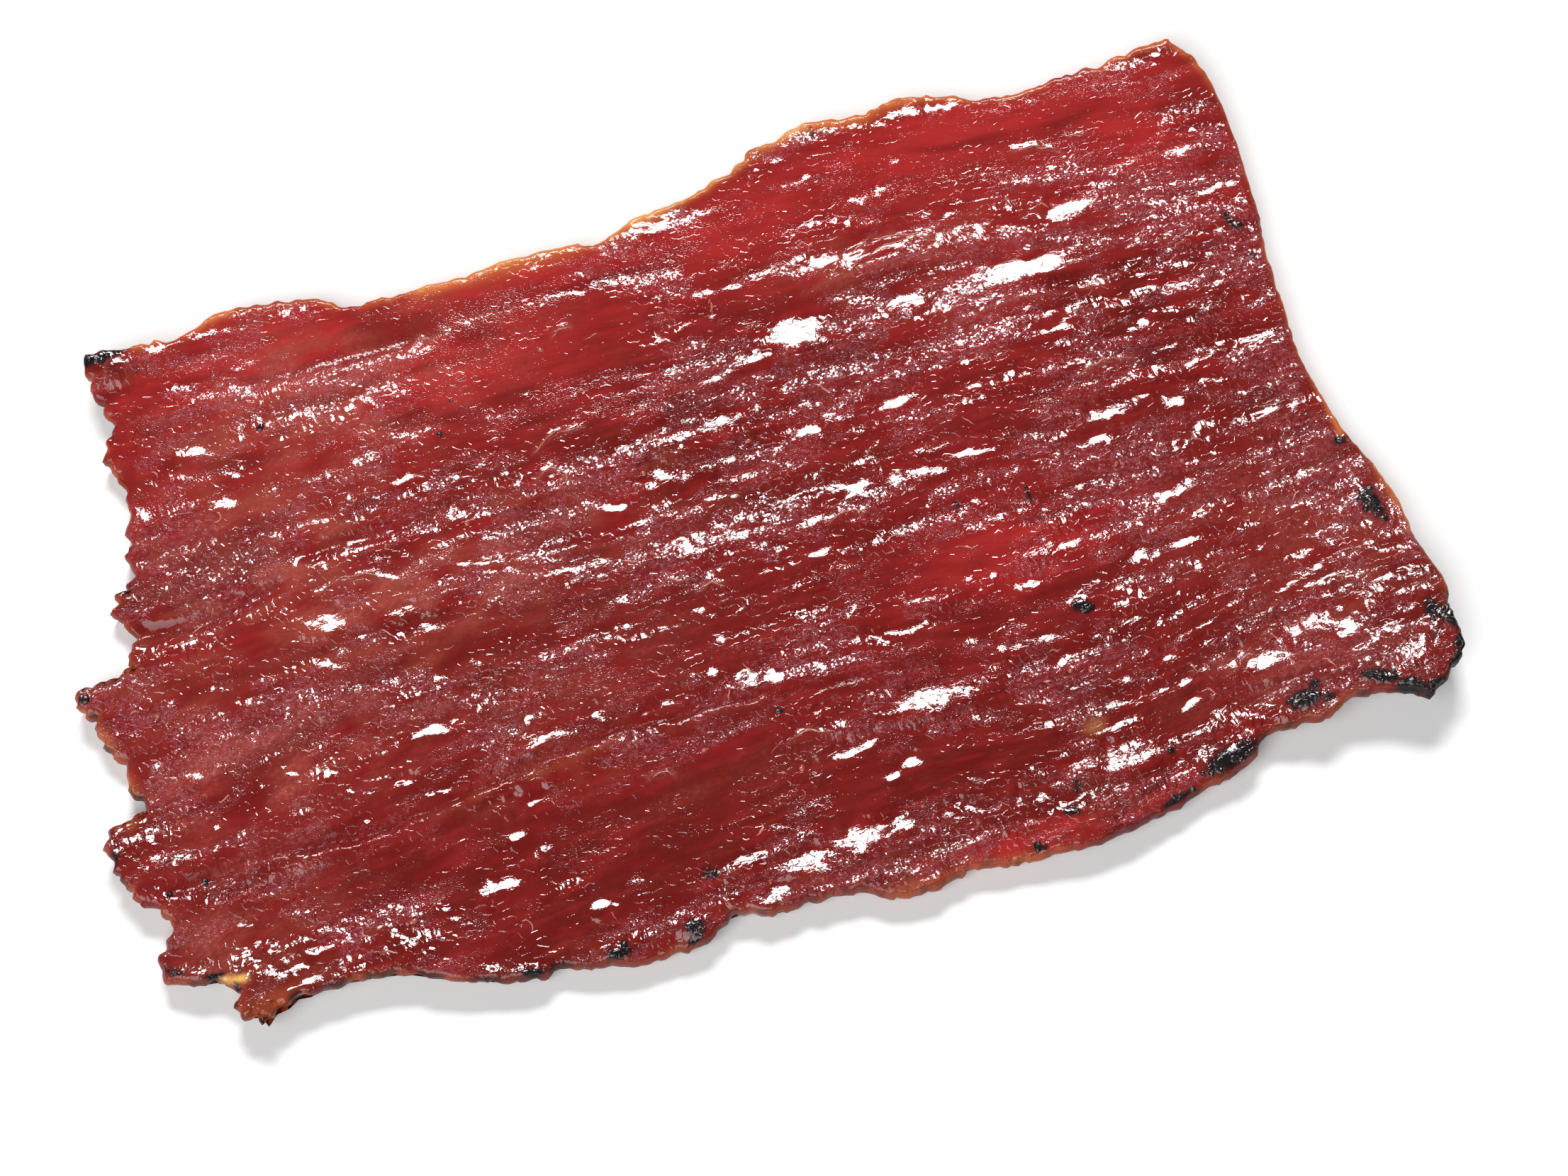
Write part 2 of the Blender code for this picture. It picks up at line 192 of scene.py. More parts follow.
# Facets of the glaze that lie towards the light, where it pooled on the far flanks
WET_FACETS = spot_rows(
    (-60, 47.2, 1.3, 0.9), (-53.1, 47.5, 2.6, 0.6), (-50, 41.6, 1.5, 1.1), (-41.8, 40.6, 2.8, 0.9),
    (-55.1, 39, 1.5, 0.6), (-59, 32.1, 2.8, 0.8), (-67.2, 26.1, 1.4, 1.3), (-57.1, 24, 1.8, 0.9),
    (-34.5, 19.9, 2.6, 0.9), (-31.7, 13.7, 1.8, 0.9), (-49.7, 4.5, 2.6, 1.3), (-50.8, -1, 1.6, 1.1),
    (-40.2, 2.9, 1.6, 0.8), (-17.5, 26.2, 1.2, 0.7), (-11.3, 7.8, 1.5, 0.9), (0.7, 28.6, 0.9, 1.1),
    (4.1, 28.9, 1.7, 0.8), (7.6, 29.2, 1, 0.7), (10.2, 32.1, 1.5, 0.7), (6, 20.6, 1.8, 0.8),
    (11.6, 21.9, 2, 1), (17.6, 23.7, 2.9, 2.4), (23.8, 32.1, 2.1, 0.8), (32.8, 23.4, 2.2, 1),
    (42.1, 33.1, 0.8, 0.6), (52, 29.8, 2, 0.7), (58, 29.3, 2.8, 1), (48.2, 22.7, 6.5, 1.8),
    (44.4, 17.9, 2.1, 0.5), (60.3, 10.9, 1.2, 0.7), (-4.9, 10.2, 1.5, 1.7), (5.1, 14.5, 1.9, 1.1),
    (3, 7.1, 2.2, 0.7), (15, 10.1, 1.6, 1.3), (17.9, 11.3, 1.3, 1.4), (26.9, 10, 2, 0.9),
    (31.3, 8.8, 1.5, 0.6), (49.4, 13.5, 2.3, 0.8), (29.1, 2.7, 1.9, 0.6), (34, 0.4, 1.9, 1.2),
    (27, 0, 2.5, 0.9), (22.9, 0.3, 1, 1.1), (18.1, 0.2, 1.3, 1.5), (13.4, -0.5, 1.2, 0.6),
    (11, -1.8, 1.5, 0.7), (-4.2, -0.4, 2, 1.1), (1.9, -0.6, 1.8, 0.8), (51, 0.1, 2, 1.6),
    (59.6, -0.9, 1.7, 1.1), (49.6, -2.9, 2.2, 1), (65.5, 3.5, 2, 0.7), (13.7, -10.7, 1.7, 0.5),
    (18.4, -11.5, 1.9, 0.5), (35.8, -14.8, 1.8, 0.5), (39.9, -14.9, 1.3, 0.9),
    (55.6, -12.7, 2.8, 1.1), (34.3, -18.7, 2.5, 0.9), (48.4, -19.5, 1.3, 1.1),
    (54.4, -19.5, 1.8, 0.8), (62.2, -17.9, 1.8, 0.7), (28.2, -25.4, 1.7, 0.6), (33.7, -25.9, 2.4, 1),
    (-3.2, -19.2, 0.9, 1.9), (-0.1, -19.7, 0.9, 1.8), (-6.8, -16.8, 0.6, 1.2),
    (5.9, -20.4, 0.6, 1.2), (-21.8, -17.7, 1, 1.2), (-28.3, -18.4, 2.4, 0.9), (-41.5, -13, 3, 1),
    (-47.9, -18.5, 2.4, 0.6), (-70, -9.4, 1.4, 0.9), (17.4, -28.5, 4.4, 1.9), (4.6, -31.9, 2.4, 1),
    (1.6, -33.3, 1.2, 1.1), (9.2, -32, 1.3, 0.8), (-35.6, -28.7, 1.6, 1.2), (-39.6, -34.5, 2.7, 1.2),
    (57.4, -37.2, 2.8, 1.9), (61.9, -34.6, 1.2, 1.5), (68.2, -36.2, 1.8, 1.2), (46.2, -37, 2.6, 0.8),
    (46.4, -39.8, 1.6, 0.8), (36.9, -43.6, 2.6, 1.8), (76, -43, 2.4, 1.6), (64.4, -34.2, 0.7, 1.8),
    (66.4, -35.4, 0.7, 1.6), (52.6, -36.2, 2.2, 0.9), (-28.2, -40.5, 1.5, 1.1),
    (3.3, -42.9, 2.8, 1.9), (-3.5, -43.6, 2.6, 1.6), (-9.7, -45.9, 2.6, 0.9), (-10.3, -41, 1.5, 1.1),
    (8, -42.6, 1.7, 0.9), (-64, -38.5, 2.6, 1), (-80, -17, 0.5, 1.6), (14.6, -43.7, 1.1, 1.3),
    (17.2, -44, 0.8, 1.4), (19.5, -44.5, 0.9, 1.2), (22.4, -44.8, 0.7, 1.4), (25.4, -45.2, 0.9, 1.4),
    (28.3, -44.6, 0.8, 1.2), (12.5, -36, 1.8, 0.7), (-13.6, -47, 1.6, 0.7), (41.2, 49.4, 2.2, 0.9),
    (46.4, 48.8, 2, 0.9), (26.1, 44.2, 1, 0.6), (38.1, 43.3, 0.8, 0.6), (73.4, 32.4, 1.6, 1.1),
    (30.8, 50.2, 1.2, 0.5), (30.9, 39.2, 1.4, 0.7), (34.6, 39.5, 1, 0.8), (-65.8, 46.7, 0.9, 0.35),
    (-67.1, 45.3, 0.35, 0.9), (70.9, -15.7, 1.3, 0.7), (61.8, 6.4, 1.4, 0.6), (69.4, -3, 1.2, 0.7),
    (44.8, -8.2, 1.3, 0.6), (57.4, -7, 1.2, 0.6), (71.6, 12.8, 0.9, 0.7), (66.4, -25.3, 1.5, 0.6),
    (50.5, -33, 1.1, 0.5), (55.8, -32.2, 0.8, 0.6), (60, -31, 1.2, 0.5), (53, -39.8, 1, 0.5),
    (49.2, -41.4, 1.2, 0.5), (42.2, -40, 0.9, 0.6), (41.4, -36.2, 1.1, 0.5), (60.8, -39.2, 0.8, 0.5),
    (71, -32.8, 1, 0.6), (56.6, -28.4, 1.2, 0.5), (64, -29.2, 0.9, 0.6), (46.6, -29.8, 1.2, 0.5),
    (-35.3, -25.2, 1.8, 0.5), (-32.2, -25.6, 1.2, 0.6), (-38.5, -25.3, 1.4, 0.5),
    (-46, -26.9, 1.6, 0.6), (-42.5, -20.8, 1.6, 0.5), (44, -27.2, 1.6, 0.5), (36.9, -39.2, 1.6, 0.7),
    (46.4, -33.4, 1.6, 0.6), (54.2, -42.8, 1.4, 0.5), (50.6, -25.6, 1.4, 0.5), (52, -30.4, 1.2, 0.5),
    (40.4, -34, 1.2, 0.6), (3.4, -26.2, 1.6, 0.7), (9.2, -36.3, 1.3, 0.6), (0.5, -36.4, 1.3, 0.5),
    (-26.9, -33.9, 1, 0.6), (-18.5, -36.5, 0.9, 0.7), (-21.5, -32.4, 1.2, 0.4),
)
SMOOTH_ZONES = spot_rows(
    (-16, 32, 18, 10, 0.9), (50, 42.5, 27, 7.5, 1), (27, -21.5, 17, 2, 0.8), (-48, -28, 14, 5, 0.8),
    (14, -37.5, 21, 3.6, 0.95, -4), (-35, -41, 15, 4, 0.8), (-30, 42, 24, 3.6, 0.9),
    (14, 40, 18, 5, 0.85), (-46, 27, 14, 2.6, 0.7), (-12, 21, 12, 5, 0.8), (22, -12.5, 12, 3.4, 0.7),
    (38, 4.6, 14, 1.8, 0.7), (-30, -3, 16, 2.6, 0.7), (-18, -33, 17, 8, 0.85),
    (34, 11.5, 9, 1.8, 0.7), (66, 35, 7, 5, 0.6), (-12, -14, 18, 2.6, 0.7), (54, 17.5, 10, 1.4, 0.6),
)
FILM_CURLS = stroke_rows(
    (0.45, 0.30, (28, 32), (31, 33.4), (34.5, 33), (38.5, 31.2)),
    (0.40, 0.22, (29, 30.6), (32, 31.6), (36, 31.6)),
    (0.45, 0.32, (53.5, 39.3), (56.5, 39.2), (59, 37.4)),
    (0.35, 0.20, (61, 39.2), (63, 38.8)),
    (0.40, 0.26, (-29.5, 37), (-28, 38.5), (-26.6, 37.8)),
    (0.35, 0.22, (-12, 32.8), (-10.6, 34), (-9.4, 33.4)),
    (0.35, 0.24, (-19, 18.2), (-15.5, 20.2), (-12, 19.4)),
    (0.35, 0.24, (-20, 14.6), (-17.4, 15.8), (-15.8, 14), (-17.4, 12.2)),
    (0.40, 0.26, (-50, 8.6), (-46.5, 9.6), (-43, 9), (-41.6, 7.6)),
    (0.32, 0.22, (-10, -4.4), (-8.2, -3.4), (-6.4, -4.6)),
    (0.32, 0.22, (-5.4, -6.4), (-3.6, -5.4), (-2, -6.8)),
    (0.35, 0.24, (-18.4, -27.6), (-16.6, -26.8), (-15.4, -28.2)),
    (0.35, 0.24, (-1, -28.4), (1.6, -27.6), (4.2, -29)),
    (0.35, 0.24, (13, -2.8), (15.4, -1.8), (18, -2.8)),
    (0.50, 0.20, (50, 6.2), (53.4, 7.2), (57, 6.4)),
    (0.40, 0.14, (-60, 8.6), (-52, 10.2), (-45, 8.6), (-36, 5.6)),
    (0.35, 0.14, (-30, 5.6), (-18, 4), (-8, 2.6)),
    (0.35, 0.16, (36, 18.6), (46, 18.8), (58, 17.2)),
    (0.35, 0.14, (20, 28.4), (28, 29.4), (40, 28.6)),
    (0.35, 0.17, (-63.9, 45.5), (-64.5, 47), (-66, 47.2), (-67.2, 46), (-67, 44.4), (-65.5, 43.7),
     (-64.2, 44.3), (-63.9, 45.3)),
)

# Colour of the meat under the glaze, with painted glow in the warm strokes along its thin edges
PALE_SPOTS = spot_rows(
    (-42, 34, 18, 9, 0.9), (-53, 16, 12, 7, 0.7), (-40, 5, 22, 6, 0.6), (64, -20, 15, 12, 0.3),
    (-60, -10, 18, 9, 0.6), (-70, -27, 9, 6, 0.6), (34, 22, 8, 6, 0.2), (60, -38, 12, 5, 0.6),
    (30, 31, 10, 3, 0.4), (-10, -30, 14, 5, 0.2), (-26, -12, 20, 8, 0.3),
)
BROWN_SPOTS = spot_rows(
    (-60, 13, 20, 14, 1), (-42, 2, 20, 8, 0.8), (-55, 32, 18, 8, 0.6), (-28, -22, 16, 3, 0.8, 3),
    (-66, -34, 12, 5, 0.6), (8, 4, 20, 3, 0.4), (34, 30, 16, 4, 0.5), (-20, 10, 16, 6, 0.5),
    (10, -48, 40, 4, 0.4, -4), (74, -30, 8, 14, 0.4), (-35, 40, 22, 7, 0.5),
)
DARK_SPOTS = spot_rows(
    (0, 13, 14, 13, 0.8), (-50, -29, 13, 5, 0.7), (-20, -8, 34, 12, 0.65), (-14, -38, 40, 12, 0.9, 4),
    (18, -40, 24, 7, 1), (45, 4, 16, 3, 0.6), (-24, 16, 14, 8, 0.45), (-65, 15, 10, 5, 0.6),
    (-35, -41, 14, 3.5, 0.7), (26, -22, 16, 3, 0.4), (-67, 46.5, 3, 2.2, 0.8), (-50, -36, 20, 8, 0.5),
    (62, 12, 15, 12, 0.7), (18, 20, 18, 8, 0.5), (64, -8, 15, 11, 0.6), (-67, -37, 13, 7, 1),
)
BRIGHT_SPOTS = spot_rows(
    (33, -14, 14, 7, 0.8), (46, 45, 30, 7, 1), (70, 38, 10, 10, 0.9), (-18, 42, 24, 5, 1),
    (25, -50, 20, 2.5, 1), (-48, 42, 20, 9, 1), (16, 41, 16, 7, 0.9), (-26, 33, 22, 9, 0.9),
)
# Warm strokes, mostly along the thin edges: partly the edges' own orange, partly painted glow of light
# shining through them
WARM_STROKES = stroke_rows(
    (1.5, 0.8, (-26, 45.2), (-10, 45), (6, 46)),
    (1.3, 0.9, (19, 50.5), (27, 52), (36, 51), (44, 52), (50, 50)),
    (0.9, 0.8, (-62, 48.4), (-56, 49), (-50, 50.2)),
    (0.5, 0.4, (-69.5, 42), (-70, 36)),
    (0.9, 0.5, (-79.5, -1), (-78, -9)),
    (0.8, 0.4, (-81, -9), (-79, -13)),
    (1.4, 0.16, (-72, -40.5), (-66, -39.2)),
    (0.4, 0.9, (79.2, 15), (77.8, 2), (78, -12)),
    (0.8, 0.8, (81, -17), (81.3, -27)),
    (1.0, 0.25, (5, -50.5), (20, -51.5)),
    (0.8, 0.08, (57, -46.2), (66, -45.5)),
    (0.5, 0.12, (-32, -22.9), (-26, -22), (-20, -21.5)),
)
FAT_STROKES = stroke_rows(
    (0.8, 0.9, (22, 51.2), (28, 52.2)),
    (0.5, 1.0, (-73.5, -35.2), (-71, -35.8)),
    (0.7, 0.6, (2, 45.8), (10, 46.8), (18.6, 49.4)),
    (0.6, 0.5, (-26, 45.6), (-12, 45.5), (0, 44.9)),
    (0.9, 0.22, (34.2, -38.5), (35, -38.5)),
)
CHAR_MARKS = spot_rows(
    (-68.8, 47.8, 1.3, 1.2), (-66.2, 48.1, 2.8, 0.9, 0.95, -2), (-65.4, 45.6, 1.6, 1.3, 0.45),
    (-50.8, 32.7, 0.4, 0.35), (-29.3, 24.5, 0.3, 0.25, 0.9), (-26.9, 28.9, 0.5, 0.25, 0.8, 90),
    (-46, 46.5, 1.2, 0.6, 0.35, 90), (-80.6, 4, 0.9, 0.6, 0.8, 80), (-81.6, -16.5, 1.6, 0.5, 0.8, 80),
    (-76.9, -23.2, 0.35, 0.35, 0.9), (-72.4, -22.7, 0.7, 0.35, 0.8),
    (-78.6, -32.2, 1.6, 0.5, 1, -38), (-74.3, -34.3, 1.9, 0.45, 0.9, -10),
    (-72, -36.6, 0.8, 0.35, 1, 90), (-73, -38.6, 0.5, 0.5), (-70.2, -41.3, 0.9, 0.4, 0.9),
    (-73, -1, 1.3, 0.3, 0.45, 80), (-49, -38.5, 0.8, 0.5, 0.35), (-38.9, -45.9, 1.7, 0.6, 1, -14),
    (-28.5, -46.9, 1.8, 0.8), (-19.2, -46.9, 1.5, 1.2), (-19.6, -48.3, 1.5, 0.4, 0.9),
    (-15.4, -41, 1.5, 1.3, 0.6, -50), (-15, -41.4, 0.7, 0.5, 0.9, 90), (-0.8, -24.2, 0.35, 0.35, 0.8),
    (28.8, -5.8, 1.1, 0.3, 0.85, 88), (28.9, -8.1, 0.5, 0.35, 0.7), (37.8, -7.3, 1.2, 0.4, 0.9, 85),
    (38.6, -23.2, 1.1, 1), (48.2, -7.6, 0.3, 0.3, 0.7), (75, -8, 0.6, 0.5, 0.5),
    (77.2, -12.9, 0.6, 0.6), (77.8, -22.3, 3, 1.25, 1, -80), (80.6, -40.5, 2.2, 1.2, 1, -80),
    (80.4, -43.9, 2.2, 1.3, 1, 62), (78.7, -46.1, 2.4, 1.3, 1, 38), (79, -38.6, 2.3, 1.3, 0.85, -70),
    (77.6, -41.6, 1.8, 1.2, 0.5, 50), (75.6, -48.2, 2.8, 1.3, 1, 10),
    (72.2, -46.9, 2.4, 1.1, 0.95, -28), (69.1, -44.4, 2.8, 1.1, 1, -28), (59.8, -43.8, 2.3, 1.5),
    (61.6, -42.4, 1.1, 0.7, 0.9, 40), (62.6, -44.8, 1, 0.7, 0.9), (48.8, -47.6, 4.4, 1.4, 1, 10),
    (40.5, -50.4, 2.6, 0.6, 0.95, 14), (28, -47.9, 1.3, 0.6, 1, -10), (29.8, -45.2, 1.1, 0.4, 0.8, 80),
    (23.3, -50.9, 0.8, 0.5, 0.9), (19, -45.9, 1.1, 0.6, 0.5), (42.3, -44.6, 0.5, 0.5, 0.9),
    (29.3, -27.4, 0.4, 0.25, 0.5, 80), (36.2, -33.7, 0.4, 0.3, 0.4), (33.7, -36.1, 0.7, 0.5, 0.4),
    (76.2, 20.3, 1.7, 0.6, 0.95, -68), (77, 14.9, 0.45, 0.4, 0.95), (76.8, 37.9, 0.3, 0.3, 0.6),
    (43.3, 3.3, 0.25, 0.25, 0.7), (29, 50.4, 1.4, 0.2, 0.8, 88), (14.2, 31, 0.3, 0.3, 0.4),
    (20.6, 35.6, 0.3, 0.3, 0.4), (8.6, 5.5, 0.3, 0.3, 0.4),
)


def unit(value: Array) -> Array:
    """Keep values between nought and one."""
    return np.clip(value, 0.0, 1.0)


def ramp(value: Array, low: float, high: float) -> Array:
    """Rise from nought at the low value to one at the high one."""
    return unit((value - low) / (high - low))


def bell(distance: Array, width: Union[float, Array]) -> Array:
    """A smooth bump of height one that has faded out by twice its width."""
    return np.exp(-((distance / width) ** 2))


def summed(waves: Sequence[Waves], x: Array, y: Array) -> Array:
    """Heights of several waves, added up."""
    return sum(wave.at(x, y) for wave in waves)


def place_tree(places: Array) -> kdtree.KDTree:
    """Make a search tree over flat places.

    Args:
        places: One row of X and Y in millimetres for each place.

    Returns:
        The tree, which finds the number of the row nearest to a place.
    """
    tree = kdtree.KDTree(len(places))
    for k, (x, y) in enumerate(places):
        tree.insert((x, y, 0.0), k)
    tree.balance()
    return tree


def oval_distance(x: Array, y: Array, spot: Spot) -> Array:
    """Distance from a spot's middle, where one is the spot's edge.

    Args:
        x: Place along the grain, in millimetres.
        y: Place across the grain, in millimetres.
        spot: The oval that is measured from.

    Returns:
        The distance in shares of the oval's half sizes.
    """
    c, s = math.cos(math.radians(spot.turn)), math.sin(math.radians(spot.turn))
    along = ((x - spot.x) * c + (y - spot.y) * s) / spot.half_long
    across = ((y - spot.y) * c - (x - spot.x) * s) / spot.half_wide
    return np.hypot(along, across)


def path_distance(x: Array, y: Array, path: Sequence[Place]) -> tuple[Array, Array, Array]:
    """Distance to a path.

    Args:
        x: Place along the grain, in millimetres.
        y: Place across the grain, in millimetres.
        path: The path's corners.

    Returns:
        The distance, a number that is positive on the path's left, and the share along it.
    """
    best = np.full(x.shape, np.inf)
    side = np.zeros(x.shape)
    along = np.zeros(x.shape)
    last = len(path) - 1
    for i in range(last):
        (ax, ay), (bx, by) = path[i], path[i + 1]
        ux, uy = bx - ax, by - ay
        t = unit(((x - ax) * ux + (y - ay) * uy) / (ux * ux + uy * uy))
        dx, dy = x - ax - t * ux, y - ay - t * uy
        d = np.hypot(dx, dy)
        nearer = d < best
        best = np.where(nearer, d, best)
        side = np.where(nearer, ux * dy - uy * dx, side)
        along = np.where(nearer, (i + t) / last, along)
    return best, side, along


def strongest(x: Array, y: Array, spots: Sequence[Spot], power: float = 2.0) -> Array:
    """The strongest of many spots at each place.

    Args:
        x: Place along the grain, in millimetres.
        y: Place across the grain, in millimetres.
        spots: The spots.
        power: How square each spot's fall is; two is a soft bell.

    Returns:
        The strongest spot's amount at each place, nought far from all of them.
    """
    found = np.zeros(x.shape)
    for spot in spots:
        found = np.maximum(found, spot.amount * np.exp(-(oval_distance(x, y, spot) ** power)))
    return found


def strongest_stroke(x: Array, y: Array, strokes: Sequence[Stroke]) -> Array:
    """The strongest of many strokes at each place.

    Args:
        x: Place along the grain, in millimetres.
        y: Place across the grain, in millimetres.
        strokes: The strokes.

    Returns:
        The strongest stroke's amount at each place, nought far from all of them.
    """
    found = np.zeros(x.shape)
    for stroke in strokes:
        distance = path_distance(x, y, stroke.path)[0]
        found = np.maximum(found, stroke.amount * bell(distance, stroke.half_width))
    return found


def grain_row(x: Array, y: Array) -> Array:
    """Place across the grain, which bends, dips and wanders a little."""
    dip = GRAIN_DIP.amount * bell(oval_distance(x, y, GRAIN_DIP), 1.0)
    bend = x * (GRAIN_TURN + GRAIN_BEND * x + GRAIN_FAN * y)
    return y + bend + dip + GRAIN_WANDER.at(x, y)


def round_spot(spot: Spot, step: float) -> tuple[Array, Array]:
    """Places one step left, right, near and far of a spot's middle.

    Args:
        spot: The spot.
        step: How far off its middle the places lie, in millimetres.

    Returns:
        The four places' X and Y.
    """
    x = np.array((spot.x - step, spot.x + step, spot.x, spot.x))
    y = np.array((spot.y, spot.y, spot.y - step, spot.y + step))
    return x, y


def along_grain(spot: Spot) -> Spot:
    """Turn a spot so that it lies along the grain."""
    left, right, near, far = grain_row(*round_spot(spot, 1.0))
    return replace(spot, turn=math.degrees(math.atan((left - right) / (far - near))))


class Edge(Enum):
    """The four sides of the slice."""

    NEAR = "near"
    LEFT = "left"
    FAR = "far"
    RIGHT = "right"


@dataclass
class SliceOutline:
    """The outline, and a warped net of places inside it."""

    columns: int = 324
    rows: int = 252
    length: float = 155.0
    width: float = 97.0
    edge_cells: int = 3
    edge_step: float = 0.24
    curve_steps: int = 10
    side_steps: int = 400
    side_length: float = 150.0
    end_length: float = 95.0
    cross_weight: float = 0.45
    calm_window: float = 15.0
    ragged_reach: float = 10.0
    tear_left: float = 0.60
    tear_near: float = 0.30
    tear_far: float = 0.25
    tear_least: float = 0.10
    tear_bias: float = 0.6
    notches: Waves = Waves(1.9, 1.9, 41.3, 3.0)
    nicks: Waves = Waves(0.9, 0.9, 43.1, 1.4)

    def __post_init__(self) -> None:
        """Work out the closed curve and its four sides once."""
        self.loop = self.torn(self.closed_curve())
        self.sides = self.cut_sides()

    def closed_curve(self) -> Array:
        """Follow a closed Catmull-Rom curve through the outline's points.

        Returns:
            The curve's places.
        """
        points = np.array(NEAR_SIDE + LEFT_SIDE + FAR_SIDE + RIGHT_SIDE)
        t = (np.arange(self.curve_steps) / self.curve_steps)[:, None]
        pieces = []
        for i in range(len(points)):
            p0, p1 = points[i - 1], points[i]
            p2, p3 = points[(i + 1) % len(points)], points[(i + 2) % len(points)]
            cubic = (3.0 * p1 - p0 - 3.0 * p2 + p3) * t ** 3
            square = (2.0 * p0 - 5.0 * p1 + 4.0 * p2 - p3) * t ** 2
            pieces.append(0.5 * (2.0 * p1 + (p2 - p0) * t + square + cubic))
        return np.concatenate(pieces)

    def torn(self, curve: Array) -> Array:
        """Tear small notches into the curve, most of them in the slice's left end.

        Args:
            curve: The closed curve's places.

        Returns:
            The torn curve.
        """
        x, y = curve.T
        left = self.tear_left * ramp(-x, 62.0, 70.0)
        near = self.tear_near * ramp(-y, 34.0, 40.0)
        far = self.tear_far * ramp(y, 40.0, 45.0)
        depth = np.maximum(np.maximum(left, near), np.maximum(far, self.tear_least))
        notched = self.tear_bias - np.abs(self.notches.at(x, y)) + self.nicks.at(x, y)
        return curve + self.outward_of(curve, 1) * (depth * notched)[:, None]

    @staticmethod
    def outward_of(curve: Array, step: int) -> Array:
        """Direction out of a closed curve at each of its places.

        Args:
            curve: The curve's places.
            step: How many places off, either way, the curve's own direction is read.

        Returns:
            Directions of length one.
        """
        along = np.roll(curve, -step, axis=0) - np.roll(curve, step, axis=0)
        out = np.stack((-along[:, 1], along[:, 0]), axis=1)
        return out / np.linalg.norm(out, axis=1)[:, None]

    def cut_sides(self) -> dict[Edge, Array]:
        """Cut the closed curve at its four corners.

        Returns:
            Each side's places, read towards plus X or plus Y.
        """
        near_left = (len(NEAR_SIDE) - 1) * self.curve_steps
        far_left = (len(NEAR_SIDE) + len(LEFT_SIDE)) * self.curve_steps
        far_right = far_left + (len(FAR_SIDE) - 1) * self.curve_steps
        near_right = len(self.loop) - self.curve_steps
        return {
            Edge.LEFT: self.loop[near_left:far_left + 1],
            Edge.FAR: self.loop[far_left:far_right + 1],
            Edge.RIGHT: self.loop[far_right:near_right + 1][::-1],
            Edge.NEAR: np.concatenate((self.loop[near_right:], self.loop[:near_left + 1]))[::-1],
        }

    def shares(self, count: int, length: float) -> Array:
        """Net lines as shares of a side, closer together at its ends.

        Args:
            count: How many cells lie along the side.
            length: The side's length in millimetres.

        Returns:
            One more share than there are cells, from nought to one.
        """
        fine = np.arange(self.edge_cells) * self.edge_step / length
        wide = np.linspace(fine[-1] + self.edge_step / length, 0.5, count // 2 - self.edge_cells + 1)
        half = np.concatenate((fine, wide))
        return np.concatenate((half, 1.0 - half[-2::-1]))

    def read_side(self, side: Edge, shares: Array) -> tuple[Array, Array]:
        """Places along a side.

        Args:
            side: Which side is read.
            shares: Shares of the way along it.

        Returns:
            The calm part of the side, and what its ragged edge adds to it.
        """
        curve = self.sides[side]
        upright = side in (Edge.LEFT, Edge.RIGHT)
        weights = (self.cross_weight, 1.0) if upright else (1.0, self.cross_weight)
        steps = np.abs(np.diff(curve, axis=0)) @ np.array(weights)
        way = np.concatenate(([0.0], np.cumsum(steps)))
        way /= way[-1]
        ends = np.linspace(0.0, 1.0, self.side_steps)
        even = np.stack([np.interp(ends, way, axis) for axis in curve.T], axis=1)
        chord = even[0] + (even[-1] - even[0]) * ends[:, None]
        swing = even - chord
        window = int(self.side_steps * self.calm_window / self.side_length) | 1
        pad = window // 2
        wide = np.concatenate((-swing[pad:0:-1], swing, -swing[-2:-pad - 2:-1]))
        mean = np.ones(window) / window
        calm = np.stack([np.convolve(axis, mean, "valid") for axis in wide.T], axis=1)
        calm[0] = calm[-1] = 0.0
        calm += chord
        full = np.stack([np.interp(shares, way, axis) for axis in curve.T], axis=1)
        smooth = np.stack([np.interp(shares, ends, axis) for axis in calm.T], axis=1)
        return smooth, full - smooth

    def net(self, step: int) -> Array:
        """Spread a net of places over the slice.

        Args:
            step: Which of the net's lines are kept; one keeps them all.

        Returns:
            Places in millimetres, by column and then by row.
        """
        u = self.shares(self.columns, self.length)[::step]
        v = self.shares(self.rows, self.width)[::step]
        near, near_rag = self.read_side(Edge.NEAR, u)
        far, far_rag = self.read_side(Edge.FAR, u)
        left, left_rag = self.read_side(Edge.LEFT, v)
        right, right_rag = self.read_side(Edge.RIGHT, v)
        a, b = u[:, None, None], v[None, :, None]
        ruled = (1 - b) * near[:, None] + b * far[:, None] + (1 - a) * left[None] + a * right[None]
        low = (1 - a) * near[0] + a * near[-1]
        high = (1 - a) * far[0] + a * far[-1]
        places = ruled - (1 - b) * low - b * high
        across, along = self.end_length / self.ragged_reach, self.side_length / self.ragged_reach
        ragged = (
            (near_rag[:, None], b * across), (far_rag[:, None], (1.0 - b) * across),
            (left_rag[None], a * along), (right_rag[None], (1.0 - a) * along),
        )
        for swing, reach in ragged:
            places = places + swing * unit(1.0 - reach) ** 2
        return places

    def edge_distance(self, x: Array, y: Array) -> Array:
        """Distance from each place to the outline, in millimetres."""
        middles = 0.5 * (self.loop + np.roll(self.loop, -1, axis=0))
        tree = place_tree(np.concatenate((self.loop, middles)))
        return np.array([tree.find((a, b, 0.0))[2] for a, b in zip(x.tolist(), y.tolist())])

    def depth(self, x: Array, y: Array) -> Array:
        """How far inside the outline each place lies, negative when it is outside."""
        inside = np.zeros(x.shape, dtype=bool)
        for (ax, ay), (bx, by) in zip(self.loop, np.roll(self.loop, -1, axis=0)):
            if ay != by:
                inside ^= ((ay > y) != (by > y)) & (x < (bx - ax) * (y - ay) / (by - ay) + ax)
        return np.where(inside, 1.0, -1.0) * self.edge_distance(x, y)

